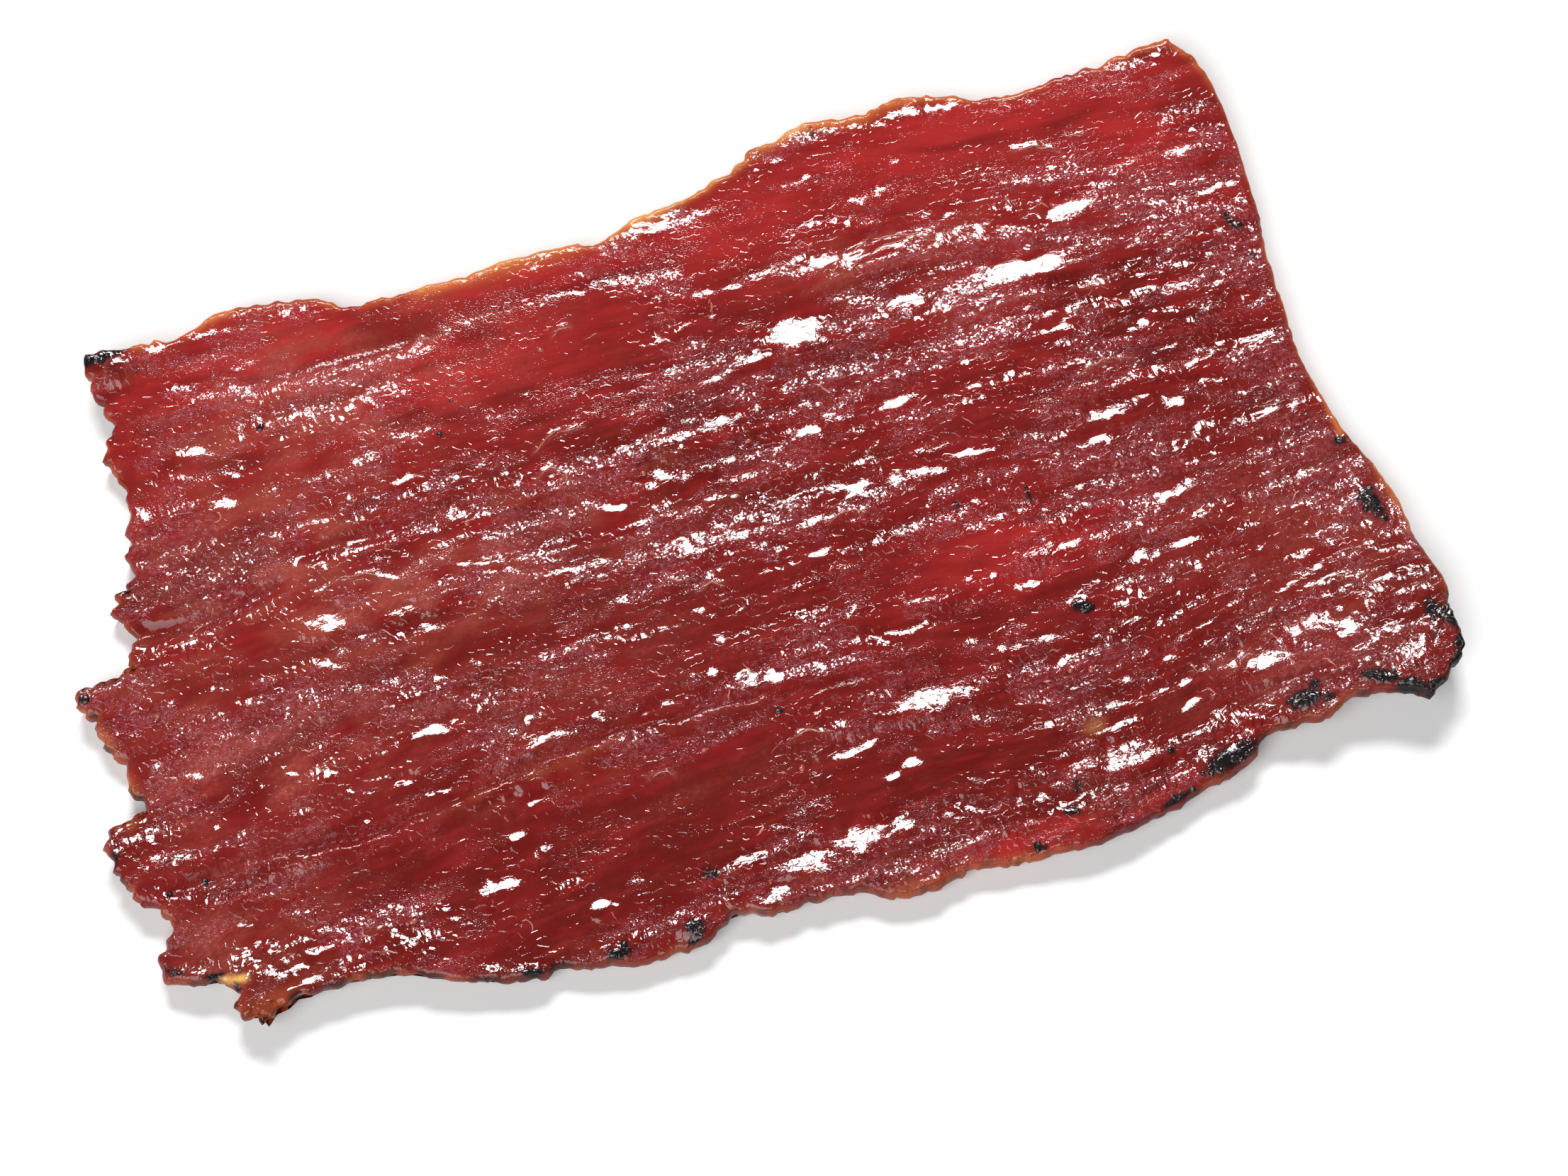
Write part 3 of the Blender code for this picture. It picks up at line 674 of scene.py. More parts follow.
    def outward(self, x: Array, y: Array) -> Array:
        """Direction that points out of the slice at each place on the outline."""
        tree = place_tree(self.loop)
        nearest = [tree.find((a, b, 0.0))[1] for a, b in zip(x.tolist(), y.tolist())]
        return self.outward_of(self.loop, 2)[nearest]


@dataclass(frozen=True)
class PlateSize:
    """Pitch of the plates in millimetres, their usual slopes, and how crisp their joints are."""

    along: float
    across: float
    tilt_x: float
    tilt_y: float
    crispness: float
    seed: int


PLATE_TABLE = 256
PLATE_MARGIN = 0.12
PLATE_STAGGER = 0.37


@dataclass(frozen=True)
class SliceRelief:
    """Heights of the slice's two faces, in millimetres over the plate."""

    thickness: float = 2.9
    least: float = 1.5
    tallest: float = 5.9
    sag: float = 0.4
    under_waves: tuple[Waves, ...] = (Waves(34.0, 26.0, 3.7, 0.55), Waves(11.0, 9.0, 8.1, 0.25))
    swell_waves: Waves = Waves(19.0, 14.0, 6.2, 0.42)
    sway_waves: tuple[Waves, ...] = (Waves(4.2, 6.0, 17.2, 0.7), Waves(1.6, 2.0, 18.4, 0.35))
    grain_height: float = 0.18
    grain_waves: tuple[Waves, ...] = (Waves(46.0, 3.224, 1.3), Waves(12.0, 4.42, 5.9, 0.7))
    bundle_height: float = 0.14
    bundle_wander: Waves = Waves(11.0, 6.0, 19.3, 0.9)
    bundle_squeeze: float = 0.005
    long_bundles: Waves = Waves(12.0, 1.7, 20.5)
    short_bundles: Waves = Waves(5.5, 1.5, 26.7, 0.5)
    valley_gain: float = 1.5
    valley_start: float = 0.3
    valley_line: float = 0.55
    fold_step: float = 0.42
    fold_run: float = 2.7
    fold_groove: float = 0.8
    fold_cut: float = 0.6
    fold_ends: float = 6.0
    facet_slope: float = 0.200
    facet_slope_gain: float = 0.0013
    facet_lean: float = 0.035
    facet_lean_gain: float = 0.0010
    facet_reach: float = 1.4
    facet_tear_x: Waves = Waves(1.6, 1.2, 14.6, 1.4)
    facet_tear_y: Waves = Waves(0.95, 3.0, 15.8, 1.7)
    facet_calm: float = 0.88
    slope_step: float = 1.5
    wide_plates: PlateSize = PlateSize(2.6, 2.1, 0.045, 0.050, 9.0, 5)
    small_plates: PlateSize = PlateSize(1.1, 1.3, 0.055, 0.045, 10.0, 8)
    fine_wander: Waves = Waves(9.0, 4.0, 11.2, 0.5)
    threads: Waves = Waves(4.0, 0.7, 2.2, 0.026)
    fingers: Waves = Waves(1.0, 2.6, 7.7, 0.05)
    beads: Waves = Waves(1.1, 0.85, 4.4, 0.015)
    fine_gain: float = 0.006
    curl_width: float = 0.8
    curl_height: float = 0.6
    curl_sway: tuple[Waves, Waves] = (Waves(1.6, 1.6, 3.3, 0.5), Waves(1.6, 1.6, 6.1, 0.5))
    rough_base: float = 0.10
    rough_left: float = 0.40
    rough_right: float = 0.45
    rough_bands: Waves = Waves(4.6, 1.9, 31.4, 3.6)
    rough_blots: Waves = Waves(15.0, 8.0, 33.7, 3.2)
    crisp_base: float = 0.75
    crisp_patches: Waves = Waves(5.5, 2.6, 35.4, 1.5)
    crisp_range: tuple[float, float] = (0.15, 1.5)

    def underside(self, x: Array, y: Array) -> Array:
        """Height of the underside over the plate, nought where it lies flat."""
        rise = summed(self.under_waves, x, y) - self.sag
        for lift in LIFTS:
            rise += lift.rise * bell(np.hypot(x - lift.x, y - lift.y), lift.reach)
        return np.maximum(0.0, rise)

    def grain(self, x: Array, y: Array) -> Array:
        """Ridges of the muscle, long along X and short across it."""
        return self.grain_height * summed(self.grain_waves, x, grain_row(x, y))

    def bundles(self, x: Array, y: Array) -> Array:
        """Bundles of muscle within the ridges, broken now and then across the grain."""
        row = grain_row(x, y)
        pace = x - self.bundle_squeeze * np.minimum(x, 0.0) ** 2
        long_ones = self.long_bundles.at(pace, row + self.bundle_wander.at(x, row))
        return (long_ones + self.short_bundles.at(pace, row)) * self.bundle_height

    def valleys(self, x: Array, y: Array) -> Array:
        """How deep a place lies between the ridges or in a crease, from nought to one."""
        depth = self.grain(x, y) / self.grain_height + self.bundles(x, y) / self.bundle_height
        low = unit(-self.valley_gain * depth - self.valley_start)
        lines = [
            Stroke(line.path, self.valley_line, min(1.0, 2.0 * line.amount))
            for line in CREASES + (FOLD_LINE,)
        ]
        return np.maximum(low, strongest_stroke(*self.sway(x, y), lines))

    def sway(self, x: Array, y: Array) -> tuple[Array, Array]:
        """Shift places a little, so that long lines run less straight."""
        return x, y + summed(self.sway_waves, x, y)

    def fold(self, x: Array, y: Array) -> Array:
        """Step along the long fold, highest just past its path."""
        d, side, along = path_distance(*self.sway(x, y), FOLD_PATH)
        ends = np.minimum(1.0, self.fold_ends * np.minimum(along, 1.0 - along))
        above = -0.2 * bell(d, self.fold_groove)
        below = bell(d, self.fold_run) - 1.2 * bell(d, self.fold_cut)
        return self.fold_step * np.where(side > 0.0, above, below) * ends

    def facets(self, x: Array, y: Array) -> tuple[Array, Array]:
        """Tilted facets of pooled glaze.

        Args:
            x: Place along the grain, in millimetres.
            y: Place across the grain, in millimetres.

        Returns:
            Their height, and how far a place lies on one.
        """
        height = np.zeros(x.shape)
        on_one = np.zeros(x.shape)
        torn_x, torn_y = x + self.facet_tear_x.at(x, y), y + self.facet_tear_y.at(x, y)
        for spot in WET_FACETS:
            reach = oval_distance(torn_x, torn_y, along_grain(spot)) / self.facet_reach
            inside = np.exp(-(reach ** 4))
            own_lean, own_slope = self.own_slopes(spot)
            slope = self.facet_slope - self.facet_slope_gain * spot.y + own_slope
            lean = self.facet_lean - self.facet_lean_gain * spot.x + own_lean
            height -= (slope * (y - spot.y) + lean * (x - spot.x)) * inside
            on_one = np.maximum(on_one, inside)
        return height, on_one

    def own_slopes(self, spot: Spot) -> tuple[float, float]:
        """Slopes along X and Y of the bare sheet at a spot's middle."""
        x, y = round_spot(spot, self.slope_step)
        left, right, near, far = self.underside(x, y) + self.swell_waves.at(x, y)
        return (right - left) / (2.0 * self.slope_step), (far - near) / (2.0 * self.slope_step)

    def roughness(self, x: Array, y: Array) -> Array:
        """Where the glaze dried over torn threads, from nought to one."""
        sides = self.rough_left * ramp(-x, 0.0, 60.0) + self.rough_right * ramp(x, 40.0, 55.0)
        patches = self.rough_bands.at(x, grain_row(x, y)) + self.rough_blots.at(x, y)
        found = unit(self.rough_base + sides + patches)
        return found * (1.0 - self.smoothness(x, y)) * (1.0 - 0.8 * self.facets(x, y)[1])

    def plates(self, x: Array, y: Array, size: PlateSize) -> Array:
        """Small plates of glaze over bundles of muscle, each tilted its own way.

        Args:
            x: Place along the grain, in millimetres.
            y: Place across the grain, in millimetres.
            size: The plates' pitch and tilt.

        Returns:
            The plates' height, which runs on softly from one to the next.
        """
        draw = np.random.default_rng(size.seed)
        shape = (PLATE_TABLE, PLATE_TABLE, 2)
        middles = draw.uniform(PLATE_MARGIN, 1.0 - PLATE_MARGIN, shape)
        tilts = draw.normal(0.0, 1.0, shape)
        across = grain_row(x, y) / size.across
        along = x / size.along + PLATE_STAGGER * np.floor(across)
        column, row = np.floor(along).astype(int), np.floor(across).astype(int)
        height = np.zeros(x.shape)
        weights = np.zeros(x.shape)
        for i in (-1, 0, 1):
            for j in (-1, 0, 1):
                cell = (column + i) % PLATE_TABLE, (row + j) % PLATE_TABLE
                off_x = along - (column + i + middles[cell][:, 0])
                off_y = across - (row + j + middles[cell][:, 1])
                weight = np.exp(-size.crispness * (off_x ** 2 + off_y ** 2))
                rise = size.tilt_x * size.along * tilts[cell][:, 0] * off_x
                rise += size.tilt_y * size.across * tilts[cell][:, 1] * off_y
                height += weight * rise
                weights += weight
        return height / weights

    def fine(self, x: Array, y: Array) -> Array:
        """Plates and beads of glaze and the fine threads of muscle under them."""
        row = grain_row(x, y)
        wander = self.fine_wander.at(x, row)
        relief = self.plates(x, y, self.wide_plates) + self.plates(x, y, self.small_plates)
        relief += self.fingers.at(x + wander, row) + self.threads.at(x, row + wander)
        return relief + self.beads.at(x, row) * self.roughness(x, y)

    def curls(self, x: Array, y: Array) -> Array:
        """Thin curled films of tissue that stand up from the top."""
        sway_x, sway_y = (axis + wave.at(x, y) for axis, wave in zip((x, y), self.curl_sway))
        curls = [replace(curl, half_width=self.curl_width * curl.half_width) for curl in FILM_CURLS]
        return self.curl_height * strongest_stroke(sway_x, sway_y, curls)

    def smoothness(self, x: Array, y: Array) -> Array:
        """How smooth the glaze has run, from nought to one."""
        return strongest(x, y, SMOOTH_ZONES, 4.0)

    def sheet(self, x: Array, y: Array) -> Array:
        """Thickness of the sheet with all its relief, without the underside's height."""
        facet_height, on_facet = self.facets(x, y)
        smooth = self.smoothness(x, y)
        lively = (1.0 - 0.85 * smooth) * (1.0 - self.fine_gain * y)
        ridges = self.grain(x, y) * (1.0 - 0.5 * smooth) + self.bundles(x, y) * lively
        coarse = ridges * (1.0 - self.facet_calm * on_facet) + self.fold(x, y)
        for crease in CREASES:
            coarse -= crease.amount * bell(path_distance(x, y, crease.path)[0], crease.half_width)
        base = np.maximum(self.least, self.thickness + self.swell_waves.at(x, y) + coarse)
        fine = self.fine(x, y) * (1.0 - 0.8 * on_facet) * lively
        return base + fine + facet_height + self.curls(x, y) + strongest(x, y, CHAR_LUMPS, 3.0)

    def crispness(self, x: Array, y: Array) -> Array:
        """How strongly the glaze's small plates stand out, about one on average."""
        patches = self.crisp_base + self.crisp_patches.at(x, grain_row(x, y))
        calm = (1.0 - 0.85 * self.smoothness(x, y)) * (1.0 - 0.85 * self.facets(x, y)[1])
        return np.clip(patches, *self.crisp_range) * calm * (1.0 - self.fine_gain * y)


@dataclass(frozen=True)
class SliceMasks:
    """Masks that the slice's finish reads, one number a corner."""

    outline: SliceOutline
    relief: SliceRelief
    fray: Waves = Waves(0.8, 0.8, 21.0, 0.35)
    mottle: Waves = Waves(6.0, 2.2, 22.0, 0.5)
    scorch: Waves = Waves(2.6, 2.6, 23.0, 2.6)
    scorch_start: float = 0.1
    cloud: tuple[Waves, ...] = (Waves(7.0, 4.0, 24.0), Waves(2.6, 1.7, 25.0, 0.5))
    # Lighter towards the far side and darker towards the near side: partly the meat's own tone, partly
    # painted light and painted shade
    far_tone_and_painted_light: float = 0.5
    near_tone_and_painted_shade: float = 0.6
    char_gain: float = 2.4
    char_start: float = 0.75
    rim_char: float = 0.8
    rim_width: float = 0.45
    # Width and share of the warm rim, which is partly painted glow of light through the thin edges
    warm_width: float = 0.5
    warm_share: float = 0.10
    warm_far: float = 0.55
    warm_right: float = 0.4
    warm_near: float = 0.05
    dry_far_width: float = 1.4
    dry_side: float = 0.85
    dry_crease: float = 0.6
    dry_fold_width: float = 1.3
    under_height: float = 0.9
    film_height: float = 0.20

    def store(self, data: bpy.types.Mesh, shift: Vector) -> None:
        """Work out every mask and store it on the mesh.

        Args:
            data: The finished mesh.
            shift: How far it was moved from the outline's own middle.
        """
        flat = np.zeros(len(data.vertices) * 3)
        data.vertices.foreach_get("co", flat)
        x, y, z = (flat.reshape(-1, 3) - np.array(shift)).T / MM
        for name, values in {**self.colours(x, y), **self.rims(x, y), **self.faces(x, y, z)}.items():
            layer = data.attributes.new(name, "FLOAT", "POINT")
            layer.data.foreach_set("value", values.astype(np.float32))

    def colours(self, x: Array, y: Array) -> dict[str, Array]:
        """Where the meat is fat, pale, brown, dark or bright. Bright rises towards the far side and
        dark towards the near side, partly as the meat's own tone and partly as painted light and
        painted shade.
        """
        cloud = summed(self.cloud, x, grain_row(x, y))
        fat = strongest_stroke(x, y, FAT_STROKES)
        bright = np.maximum(strongest(x, y, BRIGHT_SPOTS), self.far_tone_and_painted_light * ramp(y, -5.0, 40.0))
        dark = np.maximum(strongest(x, y, DARK_SPOTS), self.near_tone_and_painted_shade * ramp(-y, 8.0, 38.0))
        return {
            "fat": unit(fat * (1.0 + 2.0 * self.fray.at(x, y))),
            "pale": unit(strongest(x, y, PALE_SPOTS) * (1.0 + 2.2 * cloud)),
            "brown": unit(strongest(x, y, BROWN_SPOTS) * (1.0 + 2.0 * cloud)),
            "dark": unit(dark * (1.0 + 1.5 * cloud)),
            "bright": unit(bright * (1.0 + 0.8 * self.mottle.at(x, y))),
        }

    def rims(self, x: Array, y: Array) -> dict[str, Array]:
        """Where the slice is warm or charred, and where its glaze ran off and left it dry. The warm rim
        is partly the edge's own colour and partly painted glow of light through the thin edges.
        """
        edge = self.outline.edge_distance(x, y)
        mottle = self.mottle.at(x, y)
        far = ramp(y, 38.0, 44.0) * ramp(x, -67.0, -63.0)
        near, right = ramp(-y, 38.0, 42.0), ramp(x, 70.0, 76.0)
        share = self.warm_share + self.warm_far * far + self.warm_near * near
        share += self.warm_right * right * (1.0 - near)
        # Warm rim: partly the edge's own colour, partly painted glow of light through the thin edge
        rim_tone_and_painted_glow = bell(edge, self.warm_width + 0.4 * far) * unit(share + mottle * (1.0 + far))
        warm = strongest_stroke(x, y, WARM_STROKES) * (1.0 + mottle) + rim_tone_and_painted_glow
        near_left = np.maximum(ramp(-y, 25.0, 35.0), ramp(-x, 62.0, 72.0))
        scorched = near_left * unit(self.scorch_start + self.scorch.at(x, y))
        marks = strongest(x, y, CHAR_MARKS, 3.0) * (1.0 + self.fray.at(x, y))
        side = bell(edge, self.rim_width)
        creases = [replace(crease, amount=self.dry_crease) for crease in CREASES]
        folded = bell(path_distance(*self.relief.sway(x, y), FOLD_PATH)[0], self.dry_fold_width)
        creased = np.maximum(folded, strongest_stroke(x, y, creases))
        bare = np.maximum(bell(edge, self.dry_far_width) * far, self.dry_side * side)
        pooled = self.relief.facets(x, y)[1]
        burnt = np.maximum(self.char_gain * marks - self.char_start, self.rim_char * side * scorched)
        return {
            "warm": unit(warm),
            "char": unit(burnt),
            "dry": np.maximum(bare, creased) * (1.0 - 0.8 * pooled),
        }

    def faces(self, x: Array, y: Array, z: Array) -> dict[str, Array]:
        """What the relief's own forms give: film, valleys (for the painted shade between the ridges and
        in creases), rough and crisp glaze, the underside.
        """
        return {
            "under": unit(1.0 - (z - self.relief.underside(x, y)) / self.under_height),
            "film": unit(self.relief.curls(x, y) / self.film_height),
            "valley_shade": self.relief.valleys(x, y),
            "rough": self.relief.roughness(x, y),
            "crisp": self.relief.crispness(x, y),
            "row": grain_row(x, y),
        }


@dataclass
class GlazedSlice:
    """The slice itself: a closed sheet with its relief modelled on both faces."""

    outline: SliceOutline
    relief: SliceRelief
    under_step: int = 3
    rim_round: float = 0.7
    rim_share: float = 0.66
    rim_rows: tuple[tuple[float, float], ...] = ((0.42, 0.10), (0.20, 0.14), (0.03, 0.45))
    rim_ragged: float = 0.10
    under_inset: float = 0.95
    under_dents: Waves = Waves(5.0, 2.4, 12.4, 0.12)

    def build(self) -> bpy.types.Object:
        """Build the mesh and its masks.

        Returns:
            The slice's object, not yet dressed.
        """
        mesh = bmesh.new()
        rim = self.add_rim(mesh, self.add_top(mesh))
        self.add_underside(mesh, rim)
        bmesh.ops.recalc_face_normals(mesh, faces=mesh.faces)
        piece = self.finish(mesh, "glazed_slice")
        SliceMasks(self.outline, self.relief).store(piece.data, self.shift())
        return piece

    def finish(self, mesh: bmesh.types.BMesh, name: str) -> bpy.types.Object:
        """Bring a mesh in millimetres to its place in metres and make its object."""
        bmesh.ops.scale(mesh, vec=(MM, MM, MM), verts=mesh.verts)
        bmesh.ops.translate(mesh, vec=self.shift(), verts=mesh.verts)
        return finished_piece(mesh, name)

    def shift(self) -> Vector:
        """How far the finished slice is moved from the outline's own middle, in metres."""
        low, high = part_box(SLICE_NODE)
        middle = 0.5 * (self.outline.loop.min(axis=0) + self.outline.loop.max(axis=0))
        centre = 0.5 * (low + high)
        return Vector((centre.x - middle[0] * MM, centre.y - middle[1] * MM, low.z))

    def add_grid(
        self, mesh: bmesh.types.BMesh, step: int
    ) -> tuple[list[bmesh.types.BMVert], Array, Array, Array]:
        """Add a flat grid, and work out where its corners lie on the slice.

        Args:
            mesh: The mesh that the grid is added to.
            step: Which of the net's lines it keeps.

        Returns:
            The grid's corners, their X and Y, and which of them lie on its rim.
        """
        columns, rows = self.outline.columns // step, self.outline.rows // step
        verts = bmesh.ops.create_grid(mesh, x_segments=columns, y_segments=rows, size=0.5)["verts"]
        flat = np.array([vert.co[:2] for vert in verts]) + 0.5
        column = np.rint(flat[:, 0] * columns).astype(int)
        row = np.rint(flat[:, 1] * rows).astype(int)
        x, y = self.outline.net(step)[column, row].T
        return verts, x, y, (column % columns == 0) | (row % rows == 0)

    def add_top(self, mesh: bmesh.types.BMesh) -> list[bmesh.types.BMEdge]:
        """Warp a grid into the top face.

        Args:
            mesh: The mesh that the face is added to.

        Returns:
            The edges round its rim.
        """
        verts, x, y, on_rim = self.add_grid(mesh, 1)
        distance = np.where(on_rim, 0.0, self.outline.edge_distance(x, y))
        z = self.top_height(x, y, distance)
        for vert, co in zip(verts, np.stack((x, y, z), axis=1).tolist()):
            vert.co = co
        return [edge for edge in mesh.edges if edge.is_boundary]

    def top_height(self, x: Array, y: Array, distance: Array) -> Array:
        """Height of the top face over the plate.

        Args:
            x: Place along the grain, in millimetres.
            y: Place across the grain, in millimetres.
            distance: How far inside the outline each place lies.

        Returns:
            The heights in millimetres.
        """
        base, sheet = self.relief.underside(x, y), self.relief.sheet(x, y)
        turned = np.sqrt(1.0 - (1.0 - unit(distance / self.rim_round)) ** 2)
        z = base + sheet * (self.rim_share + (1.0 - self.rim_share) * turned)
        return z - 0.5 * np.maximum(0.0, z - self.relief.tallest)

    def add_rim(
        self, mesh: bmesh.types.BMesh, rim: list[bmesh.types.BMEdge]
    ) -> list[bmesh.types.BMEdge]:
        """Extrude the rim down in rows that bulge and then turn under.

        Args:
            mesh: The mesh that is extruded.
            rim: The edges round the top face.

        Returns:
            The edges round the lowest row.
        """
        mesh.verts.index_update()
        verts = sorted({vert for edge in rim for vert in edge.verts}, key=lambda vert: vert.index)
        flat = np.array([vert.co[:2] for vert in verts])
        x, y = flat.T
        base, sheet = self.relief.underside(x, y), self.relief.sheet(x, y)
        outward, tree = self.outline.outward(x, y), place_tree(flat)
        for share, inset in self.rim_rows:
            ragged = Waves(0.9, 0.9, 9.0 * share, self.rim_ragged).at(x, y)
            places = flat + outward * (ragged - inset)[:, None]
            places = np.column_stack((places, base + sheet * share)).tolist()
            made = bmesh.ops.extrude_edge_only(mesh, edges=rim)["geom"]
            for vert in (item for item in made if isinstance(item, bmesh.types.BMVert)):
                vert.co = places[tree.find((vert.co.x, vert.co.y, 0.0))[1]]
            rim = [item for item in made if isinstance(item, bmesh.types.BMEdge) and item.is_boundary]
        return rim

    def add_underside(self, mesh: bmesh.types.BMesh, rim: list[bmesh.types.BMEdge]) -> None:
        """Close the slice with a coarser grid, bridged to the rim.

        Args:
            mesh: The mesh that is closed.
            rim: The edges round the rim's lowest row.
        """
        verts, x, y, on_rim = self.add_grid(mesh, self.under_step)
        places = np.stack((x, y), axis=1)
        places[on_rim] -= self.under_inset * self.outline.outward(x[on_rim], y[on_rim])
        x, y = places.T
        z = self.relief.underside(x, y) + np.maximum(0.0, self.under_dents.at(x, y))
        for vert, co in zip(verts, np.stack((x, y, z), axis=1).tolist()):
            vert.co = co
        edges = {edge for vert in verts for edge in vert.link_edges}
        bmesh.ops.bridge_loops(mesh, edges=rim + [edge for edge in edges if edge.is_boundary])


@dataclass(frozen=True)
class LumpShape:
    """Form of the small lumps that sit half sunk in the top."""

    radii: tuple[float, float]
    stretch: float
    squash: float
    sunk: float
    jagged: float
    subdivisions: int

    def strew(
        self, surface: GlazedSlice, places: Array, draw: np.random.Generator, name: str
    ) -> bpy.types.Object:
        """Build one lump at each place, all in one mesh.

        Args:
            surface: The slice they sit on.
            places: One row of X and Y in millimetres for each lump.
            draw: The random numbers' source.
            name: The object's name.

        Returns:
            The lumps' object, not yet dressed.
        """
        distance = surface.outline.edge_distance(*places.T)
        heights = surface.top_height(*places.T, distance)
        least, most = self.radii
        mesh = bmesh.new()
        for k, ((x, y), z) in enumerate(zip(places.tolist(), heights.tolist())):
            radius = least + (most - least) * draw.uniform() ** 2
            made = bmesh.ops.create_icosphere(mesh, subdivisions=self.subdivisions, radius=radius)
            turn = Matrix.Rotation(draw.uniform(0.0, math.tau), 3, "Z")
            stretch = Vector((draw.uniform(1.0, self.stretch), 1.0, self.squash))
            foot = Vector((x, y, z - self.sunk * radius))
            for vert in made["verts"]:
                bend = noise.noise(vert.co * (1.3 / radius) + Vector((0.0, 0.0, 3.1 * k)))
                vert.co = foot + turn @ (vert.co * (1.0 + self.jagged * bend) * stretch)
        return surface.finish(mesh, name)


@dataclass
class GlazeBeads:
    """Small blisters of glaze where it dried over torn threads."""

    surface: GlazedSlice
    shape: LumpShape = LumpShape((0.10, 0.36), 1.8, 0.7, 0.25, 0.3, 2)
    reach: Place = (80.0, 50.0)
    least_likely: float = 0.02
    left_likely: float = 0.5
    right_likely: float = 0.2
    tries: int = 2600
    most: int = 520
    clear: float = 1.2
    seed: int = 33

    def build(self) -> bpy.types.Object:
        """Build every blister into one mesh.

        Returns:
            The blisters' object, not yet dressed.
        """
        draw = np.random.default_rng(self.seed)
        x, y = (draw.uniform(-reach, reach, self.tries) for reach in self.reach)
        likely = np.where(x < 0.0, self.left_likely, self.right_likely)
        likely = self.least_likely + likely * self.surface.relief.roughness(x, y)
        kept = draw.uniform(0.0, 1.0, self.tries) < likely
        kept &= self.surface.outline.depth(x, y) > self.clear
        places = np.stack((x[kept], y[kept]), axis=1)[:self.most]
        return self.shape.strew(self.surface, places, draw, "glaze_beads")


@dataclass
class CharCrust:
    """Burnt crumbs that stick to the charred places."""

    surface: GlazedSlice
    shape: LumpShape = LumpShape((0.20, 0.58), 1.8, 0.42, 0.12, 0.60, 2)
    crumbs_per_area: float = 0.9
    least_mark: float = 0.25
    least_amount: float = 0.8
    clear: float = 0.7
    seed: int = 21

    def build(self) -> bpy.types.Object:
        """Build every crumb into one mesh.

        Returns:
            The crumbs' object, not yet dressed.
        """
        draw = np.random.default_rng(self.seed)
        return self.shape.strew(self.surface, self.places(draw), draw, "char_crust")

    def places(self, draw: np.random.Generator) -> Array:
        """Scatter places over the charred marks, well inside the outline.

        Args:
            draw: The random numbers' source.

        Returns:
            One row of X and Y in millimetres for each crumb.
        """
        found = []
        for mark in CHAR_MARKS:
            if mark.amount < self.least_amount or mark.half_wide < self.least_mark:
                continue
            area = math.pi * mark.half_long * mark.half_wide
            count = max(1, round(self.crumbs_per_area * area))
            out, way = np.sqrt(draw.uniform(0.0, 1.0, count)), draw.uniform(0.0, math.tau, count)
            along, across = mark.half_long * out * np.cos(way), mark.half_wide * out * np.sin(way)
            c, s = math.cos(math.radians(mark.turn)), math.sin(math.radians(mark.turn))
            x, y = mark.x + along * c - across * s, mark.y + along * s + across * c
            found.append(np.stack((x, y), axis=1))
        places = np.concatenate(found)
        return places[self.surface.outline.depth(*places.T) > self.clear]


